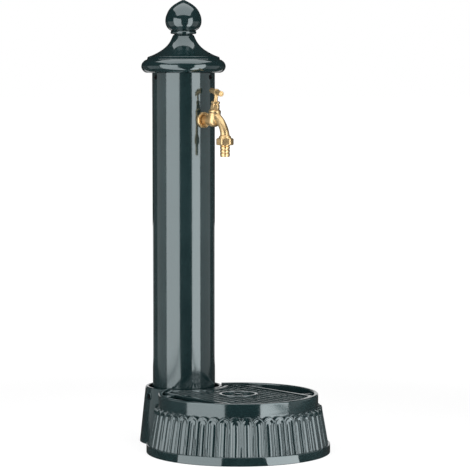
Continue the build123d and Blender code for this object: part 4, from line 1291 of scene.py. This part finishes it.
class STANDPIPE_OT_tap(Operator):
    """Makes the tap's wall flange and its cast body"""

    bl_idname = "standpipe.tap"
    bl_label = "Tap body"

    def execute(self, context):
        flange = rounded([(10.5, 58.0), (15.0, 58.0), (16.3, 63.6, 0.5), (16.3, 66.4, 0.6),
                          (14.6, 68.2, 0.6), (13.4, 67.7, 0.5), (12.0, 66.5, 0.6), (10.5, 66.3)], True, 4)
        sides = flat_sided(31.0, 62.0, 72.0, sides=8, soft=0.3)
        plate = Draft().turn(flange, INLET_PLACE, 128, sides, closed=True)
        made = raw_object("wall_flange_shown", plate.mesh("wall_flange_shown"))
        cut(made, Draft().rod(FLANGE_SEAT, 600, 690, steps=240))
        finish_piece(made, "post", "cast brass", "wall_flange", sharp=40.0)
        self.make_body()
        return {"FINISHED"}

    def make_body(self):
        """The body's forms, blended as one casting, then bored."""
        body = Draft()
        inlet = [(0, 45.0), (10.4, 45.0), (10.4, 64.0), (9.4, 64.8), (8.9, 66.5), (9.2, 74.0),
                 (10.2, 80.0), (11.8, 88.0), (11.8, 97.0), (0, 97.0)]
        body.turn(inlet, INLET_PLACE, 64)
        bulb = through(((0.1, -13.4), (5.0, -12.9), (9.4, -10.4), (12.0, -6.4), (13.0, -1.0), (12.9, 4.0),
                        (12.3, 9.0), (12.1, 12.0)), 4) + [(12.1, 15.0), (0, 15.0)]
        body.turn([(0, -13.4)] + bulb, VALVE_PLACE, 64)
        path = through(((0, -100.0, 652.0), (0, -108.0, 649.6), (0, -117.5, 642.6), (0, -125.0, 633.0),
                        (0, -129.6, 623.0), (0, -131.0, 613.6)), 6)
        count = len(path)
        body.tube(path, [9.6 - 1.3 * math.sin(math.pi * step / (count - 1)) for step in range(count)])
        collar = rounded([(0, -34.0), (12.0, -34.0), (12.0, -31.2, 0.8), (9.4, -29.6, 0.6), (9.0, -28.0),
                          (0, -28.0)])
        body.turn(collar, OUTLET_PLACE, 64)
        body.rod(13.1, -42.0, -33.9, OUTLET_PLACE, 64)
        boss = Matrix.Translation((0, -109.6, 657.0)) @ Matrix.Scale(0.8, 4, (1, 0, 0))
        ball = arc(BOSS_RADIUS, 0, math.pi, 12)[1:-1]
        body.turn([(0, -BOSS_RADIUS)] + ball + [(0, BOSS_RADIUS)], boss, 32)
        made = raw_object("tap_body_cast", body.mesh("tap_body_cast"))
        blend(made, BODY_VOXEL, 5)
        bores = Draft()
        bores.rod(6.0, 40.0, 85.0, INLET_PLACE)
        bores.rod(4.5, 84.0, 97.0, Matrix.Translation((0, 0, -1)) @ INLET_PLACE, 32)
        chamber = [(0, -7.0), (5.0, -7.0), (5.0, 5.5), (9.5, 5.5), (9.5, 18.0), (0, 18.0)]
        bores.turn(chamber, VALVE_PLACE, 48)
        bores.tube(path[6:], [4.0] * len(path[6:]), 32)
        bores.rod(7.0, -44.0, -31.0, OUTLET_PLACE)
        cut(made, bores)
        finish_piece(made, "post", "cast brass", "tap_body", sharp=50.0)


HANDLE_VOXEL = 0.32
GRIP_PLACES = [-22.1 + 0.85 * step for step in range(53)]
GRIP_RADIUS = 5.15
GRIP_WAVE = 0.25
GRIP_HALF_PITCH = 3.4


class STANDPIPE_OT_headwork(Operator):
    """Makes the tap's bonnet, gland nut, spindle and T-handle"""

    bl_idname = "standpipe.headwork"
    bl_label = "Headwork"

    def execute(self, context):
        bonnet = rounded([(6.55, 16.7), (7.75, 16.7), (7.75, 11.0), (9.4, 11.0), (9.4, 16.0),
                          (12.25, 16.0, 0.6), (12.25, 18.8, 1.0), (10.9, 20.2, 0.8), (9.9, 21.2, 0.4),
                          (9.5, 24.0), (8.9, 28.0), (8.5, 30.6, 0.4), (7.0, 31.2), (7.0, 35.0), (6.0, 35.0),
                          (6.0, 31.6), (4.1, 31.6), (4.1, 29.7), (6.55, 29.7)], True, 4)
        hexagon = flat_sided(15.8, 20.8, 31.1, soft=0.2)
        draft = Draft().turn(bonnet, VALVE_PLACE, 96, hexagon, closed=True)
        piece_from(draft, "bonnet_shown", "post", "turned brass", "bonnet", sharp=32.0)
        gland = rounded([(7.06, 32.6), (8.2, 32.6, 0.4), (8.95, 33.4, 0.3), (8.95, 36.4, 0.3),
                         (7.6, 37.4, 0.4), (4.1, 37.4, 0.3), (4.1, 36.0), (7.06, 36.0)], True, 4)
        nut = flat_sided(16.0, 32.0, 37.45, soft=0.2)
        draft = Draft().turn(gland, VALVE_PLACE, 96, nut, closed=True)
        piece_from(draft, "gland_nut_shown", "post", "turned brass", "gland_nut", sharp=32.0)
        rod = rounded([(0, 24.5), (3.1, 24.5), (3.1, 11.7), (6.4, 11.7, 0.3), (6.4, 23.7, 0.3),
                       (4.0, 23.9), (4.0, 44.0), (3.9, 45.2, 0.3), (4.0, 46.4), (4.0, 49.4, 0.4),
                       (3.0, 49.6), (3.0, 60.4), (0, 60.4)])
        draft = Draft().turn(rod, VALVE_PLACE, 56)
        piece_from(draft, "spindle_shown", "spindle", "turned brass", "spindle", sharp=32.0)
        self.add_handle()
        return {"FINISHED"}

    def add_handle(self):
        """The cross bar and its hub, blended as one casting, and the screw on top."""
        end = [(0, 24.6), (2.2, 25.0), (3.4, 26.2), (4.4, 26.3), (5.2, 25.4), (5.5, 24.0)]
        bar = [(radius, -along) for radius, along in end]
        bar += [(GRIP_RADIUS + GRIP_WAVE * math.cos(math.pi * along / GRIP_HALF_PITCH), along)
                for along in GRIP_PLACES]
        bar += reversed(end)
        handle = Draft()
        lying = VALVE_PLACE @ Matrix.Translation((0, 0, 55.3)) @ Matrix.Rotation(-HANDLE_TURN, 4, "Z")
        lying = lying @ Matrix.Rotation(math.pi / 2, 4, "X")
        handle.turn(bar, lying, 56)
        hub = rounded([(0, 49.6), (5.0, 49.6, 0.6), (5.9, 52.2, 1.0), (5.9, 57.4, 1.0), (5.0, 60.4, 0.6),
                       (0, 60.4)])
        handle.turn(hub, VALVE_PLACE, 56)
        made = raw_object("tee_handle_shown", handle.mesh("tee_handle_shown"))
        blend(made, HANDLE_VOXEL, 4)
        cut(made, Draft().rod(3.05, 45.0, 64.0, VALVE_PLACE))
        finish_piece(made, "spindle", "cast brass", "tee_handle", sharp=50.0)
        screw = rounded([(0, 60.5), (4.1, 60.5, 0.2), (4.1, 61.3, 0.4), (2.6, 61.8, 0.4), (0, 61.9)])
        draft = Draft().turn(screw, VALVE_PLACE, 48)
        made = raw_object("handle_screw_shown", draft.mesh("handle_screw_shown"))
        cut(made, Draft().box((-6, -0.5, 61.2), (6, 0.5, 66.0), 0.05, VALVE_PLACE))
        finish_piece(made, "spindle", "turned brass", "handle_screw", sharp=32.0)


BARB_COUNT = 3
BARB_PITCH = 6.5


class STANDPIPE_OT_union(Operator):
    """Makes the hose union's nut and the barbed tail"""

    bl_idname = "standpipe.union"
    bl_label = "Hose union"

    def execute(self, context):
        nut = rounded([(9.98, -48.4), (15.4, -48.4, 0.5), (17.3, -46.8, 0.5), (17.3, -36.6, 0.5),
                       (15.4, -34.8, 0.5), (13.3, -34.8), (13.3, -46.0), (9.98, -46.0)], True, 4)
        sides = flat_sided(31.0, -48.5, -34.7, soft=0.3)
        draft = Draft().turn(nut, OUTLET_PLACE, 96, sides, closed=True)
        piece_from(draft, "union_nut_shown", "union_nut", "turned brass", "union_nut", sharp=32.0)
        corners = [(6.5, -43.8), (12.3, -43.8), (12.3, -45.98), (9.88, -45.98), (9.88, -49.4, 0.3),
                   (8.7, -50.6, 0.5)]
        for step in range(BARB_COUNT):
            top = -52.0 - BARB_PITCH * step
            corners += [(9.85, top, 0.9), (9.85, top - 2.6, 1.2), (8.7, top - 5.2, 0.8)]
        corners = corners[:-1] + [(8.6, -71.4, 0.4), (6.5, -71.4, 0.3)]
        draft = Draft().turn(rounded(corners, True, 4), OUTLET_PLACE, 72, closed=True)
        piece_from(draft, "hose_tail_shown", "hose_tail", "turned brass", "hose_tail", sharp=40.0)
        return {"FINISHED"}


INNER_FINISHES = {
    "turned brass": ("jumper", "jumper_nut", "elbow", "extension_piece", "inlet_fitting",
                     "riser_nuts", "waste_body"),
    "screw steel": ("basin_screws", "finial_stud", "finial_nut", "fitting_screws", "waste_nut"),
    "rubber": ("waste_washer", "jumper_washer", "union_washer", "bonnet_washer", "gland_packing"),
    "plastic": ("backing_saddle",),
    "copper": ("riser_pipe",),
}


class STANDPIPE_OT_inner_parts(Operator):
    """Gives the CAD parts that stay in sight their finishes"""

    bl_idname = "standpipe.inner_parts"
    bl_label = "Inner parts"

    def execute(self, context):
        for finish, names in INNER_FINISHES.items():
            for name in names:
                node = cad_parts[name]
                node.data.materials.clear()
                node.data.materials.append(material_of(finish))
        return {"FINISHED"}


# Between these distances from the object, in metres, the floor's glow takes over from its shadow
GLOW_REACH = (0.7, 2.0)
NEAR_GLOW_SHARE = 0.62
FLOOR_GLOW = 1.17
FLOOR_HALF = 200.0
CARD_TOP = 2.05
DARK_CARD = 0.02


def card(name, corners, shade):
    """A flat card that only mirrors see, to shape the reflections."""
    mesh = bpy.data.meshes.new(name)
    mesh.from_pydata(corners, [], [tuple(range(len(corners)))])
    made = raw_object(name, mesh)
    material, graph = new_material(name)
    light = graph.add("ShaderNodeEmission", None, {"Color": (shade, shade, shade, 1.0)})
    graph.add("ShaderNodeOutputMaterial", None, {"Surface": light["Emission"]})
    mesh.materials.append(material)
    made.visible_camera = False
    made.visible_diffuse = False
    made.visible_shadow = False
    made.visible_transmission = False


def upright_card(name, spot, start, end, bottom, top, shade):
    """A card that stands on a line between two places."""
    card(name, [spot(*start, bottom), spot(*end, bottom), spot(*end, top), spot(*start, top)], shade)


def flat_card(name, spot, corners, height, shade):
    """A card that lies at a height."""
    card(name, [spot(*corner, height) for corner in corners], shade)


def area_lamp(name, place, aim, size, radiance):
    """A rectangular lamp whose face has a set brightness."""
    lamp = bpy.data.lights.new(name, "AREA")
    lamp.shape = "RECTANGLE"
    lamp.size, lamp.size_y = size
    lamp.energy = radiance * math.pi * size[0] * size[1]
    made = raw_object(name, lamp)
    made.location = place
    made.rotation_euler = (Vector(aim) - Vector(place)).to_track_quat("-Z", "Y").to_euler()
    made.visible_camera = False


class STANDPIPE_OT_stage(Operator):
    """Makes the floor, the room, the lamps and the camera"""

    bl_idname = "standpipe.stage"
    bl_label = "Stage"

    def execute(self, context):
        look = context.scene.standpipe_stage
        context.scene.view_settings.view_transform = "Standard"
        towards = Vector((math.sin(look.azimuth), -math.cos(look.azimuth), 0))
        right = Vector((math.cos(look.azimuth), math.sin(look.azimuth), 0))
        self.make_room(context, look)
        self.make_floor(look)

        def spot(across, ahead, height):
            return right * across + towards * ahead + Vector((0, 0, height))

        area_lamp("lamp_left", spot(-0.645, 0.985, 0.56), spot(0.004, 0.72, 0.56), (1.24, 1.08),
                  look.left_radiance)
        area_lamp("lamp_right", spot(0.758, 0.87, 0.56), spot(0.0, 0.89, 0.56), (0.92, 1.08),
                  look.right_radiance)
        area_lamp("lamp_top", spot(0.0, 0.25, 1.75), spot(0.0, 0.15, 0.4), (1.9, 1.5), look.top_radiance)
        self.make_cards(spot)
        self.make_camera(context, look, towards, right)
        return {"FINISHED"}

    def make_cards(self, spot):
        """Grey and white cards round the object that only mirrors see."""
        walls = ((-1.4, 2.3), (1.5, 2.3), (1.5, -1.4), (-1.4, -1.4))
        for index, (start, end) in enumerate(zip(walls, walls[1:] + walls[:1])):
            upright_card("card_wall_%d" % index, spot, start, end, 0.0, CARD_TOP, DARK_CARD)
        flat_card("card_ceiling", spot, walls, CARD_TOP, DARK_CARD)
        flat_card("card_ground", spot, walls, 0.0004, 0.05)
        sides = (
            ((-0.95, 0.40), (-1.2, -0.5), 0.42), ((-1.2, -0.5), (-0.75, -1.2), 0.08),
            ((0.85, 0.41), (1.2, -0.5), 0.38), ((1.2, -0.5), (0.75, -1.2), 0.05),
        )
        for index, (start, end, shade) in enumerate(sides):
            upright_card("card_side_%d" % index, spot, start, end, 0.0, 0.80, shade)
        upright_card("card_behind", spot, (-0.75, -1.2), (0.75, -1.2), 0.0, 0.36, 0.8)
        left = ((0.078, 0.289), (-0.411, 1.565), (-0.884, 0.412), (0.0254, 0.264))
        right = ((0.146, 0.2865), (0.746, 1.326), (0.77, 0.412), (0.1858, 0.2669))
        middle = ((0.078, 0.289), (-0.46, 2.0), (1.02, 2.0), (0.146, 0.2865))
        flat_card("card_floor_left", spot, left, 0.001, 2.0)
        flat_card("card_floor_right", spot, right, 0.001, 3.2)
        flat_card("card_floor_middle", spot, middle, 0.0012, 0.012)

    def make_room(self, context, look):
        """White to the eye and in mirrors, softer as light on the object."""
        world = bpy.data.worlds.new("studio")
        context.scene.world = world
        world.use_nodes = True
        world.node_tree.nodes.clear()
        graph = Graph(world.node_tree)
        strength = look.ambient + graph.seen() * (1.0 - look.ambient)
        light = graph.add("ShaderNodeBackground", None, {"Color": WHITE, "Strength": strength})
        graph.add("ShaderNodeOutputWorld", None, {"Surface": light["Background"]})

    def make_floor(self, look):
        """A pale floor that keeps the object's shadow."""
        mesh = bpy.data.meshes.new("floor")
        corners = [(x * FLOOR_HALF, y * FLOOR_HALF, 0) for x, y in ((-1, -1), (1, -1), (1, 1), (-1, 1))]
        mesh.from_pydata(corners, [], [(0, 1, 2, 3)])
        floor = raw_object("floor", mesh)
        material, graph = new_material("floor_white")
        place = graph.place()
        reach = graph.add("ShaderNodeVectorMath", {"operation": "LENGTH"}, {0: place})["Value"]
        share = graph.smooth(reach, *GLOW_REACH, NEAR_GLOW_SHARE, 1.0)
        paper = graph.add("ShaderNodeBsdfDiffuse", None, {"Color": colour4(look.floor_colour)})
        glow = graph.add("ShaderNodeEmission", None, {"Color": WHITE, "Strength": FLOOR_GLOW})
        inputs = {"Fac": graph.seen() * share, 1: paper["BSDF"], 2: glow["Emission"]}
        mixed = graph.add("ShaderNodeMixShader", None, inputs)
        graph.add("ShaderNodeOutputMaterial", None, {"Surface": mixed["Shader"]})
        mesh.materials.append(material)

    def make_camera(self, context, look, towards, right):
        """The camera at the photograph's view."""
        data = bpy.data.cameras.new("camera")
        data.lens = look.lens
        data.sensor_width = 36.0
        camera = raw_object("camera", data)
        camera.location = towards * look.distance + Vector((0, 0, look.height))
        ahead = -towards * math.cos(look.pan) + right * math.sin(look.pan)
        ahead = ahead * math.cos(look.tilt) - Vector((0, 0, math.sin(look.tilt)))
        camera.rotation_euler = ahead.to_track_quat("-Z", "Y").to_euler()
        data.clip_start = 0.05
        data.clip_end = 1000.0
        context.scene.camera = camera


class STANDPIPE_PT_panel(Panel):
    """The standpipe's pieces, sizes and colours"""

    bl_idname = "STANDPIPE_PT_panel"
    bl_label = "Standpipe"
    bl_space_type = "VIEW_3D"
    bl_region_type = "UI"
    bl_category = "Standpipe"

    def draw(self, context):
        layout = self.layout
        for operator in OPERATORS:
            layout.operator(operator.bl_idname)
        for name, group in GROUPS.items():
            box = layout.box()
            box.label(text=group.__doc__)
            for key in group.__annotations__:
                box.prop(getattr(context.scene, name), key)


OPERATORS = (
    STANDPIPE_OT_inner_parts, STANDPIPE_OT_column, STANDPIPE_OT_foot, STANDPIPE_OT_basin,
    STANDPIPE_OT_grate, STANDPIPE_OT_cap, STANDPIPE_OT_screws, STANDPIPE_OT_tap,
    STANDPIPE_OT_headwork, STANDPIPE_OT_union, STANDPIPE_OT_stage,
)
CLASSES = (*GROUPS.values(), *OPERATORS, STANDPIPE_PT_panel)


def register():
    for each in CLASSES:
        bpy.utils.register_class(each)
    for name, group in GROUPS.items():
        setattr(bpy.types.Scene, name, PointerProperty(type=group))


def unregister():
    for name in GROUPS:
        delattr(bpy.types.Scene, name)
    for each in reversed(CLASSES):
        bpy.utils.unregister_class(each)


def main():
    register()
    for operator in OPERATORS:
        getattr(bpy.ops.standpipe, operator.bl_idname.split(".")[1])()


if __name__ == "__main__":
    main()
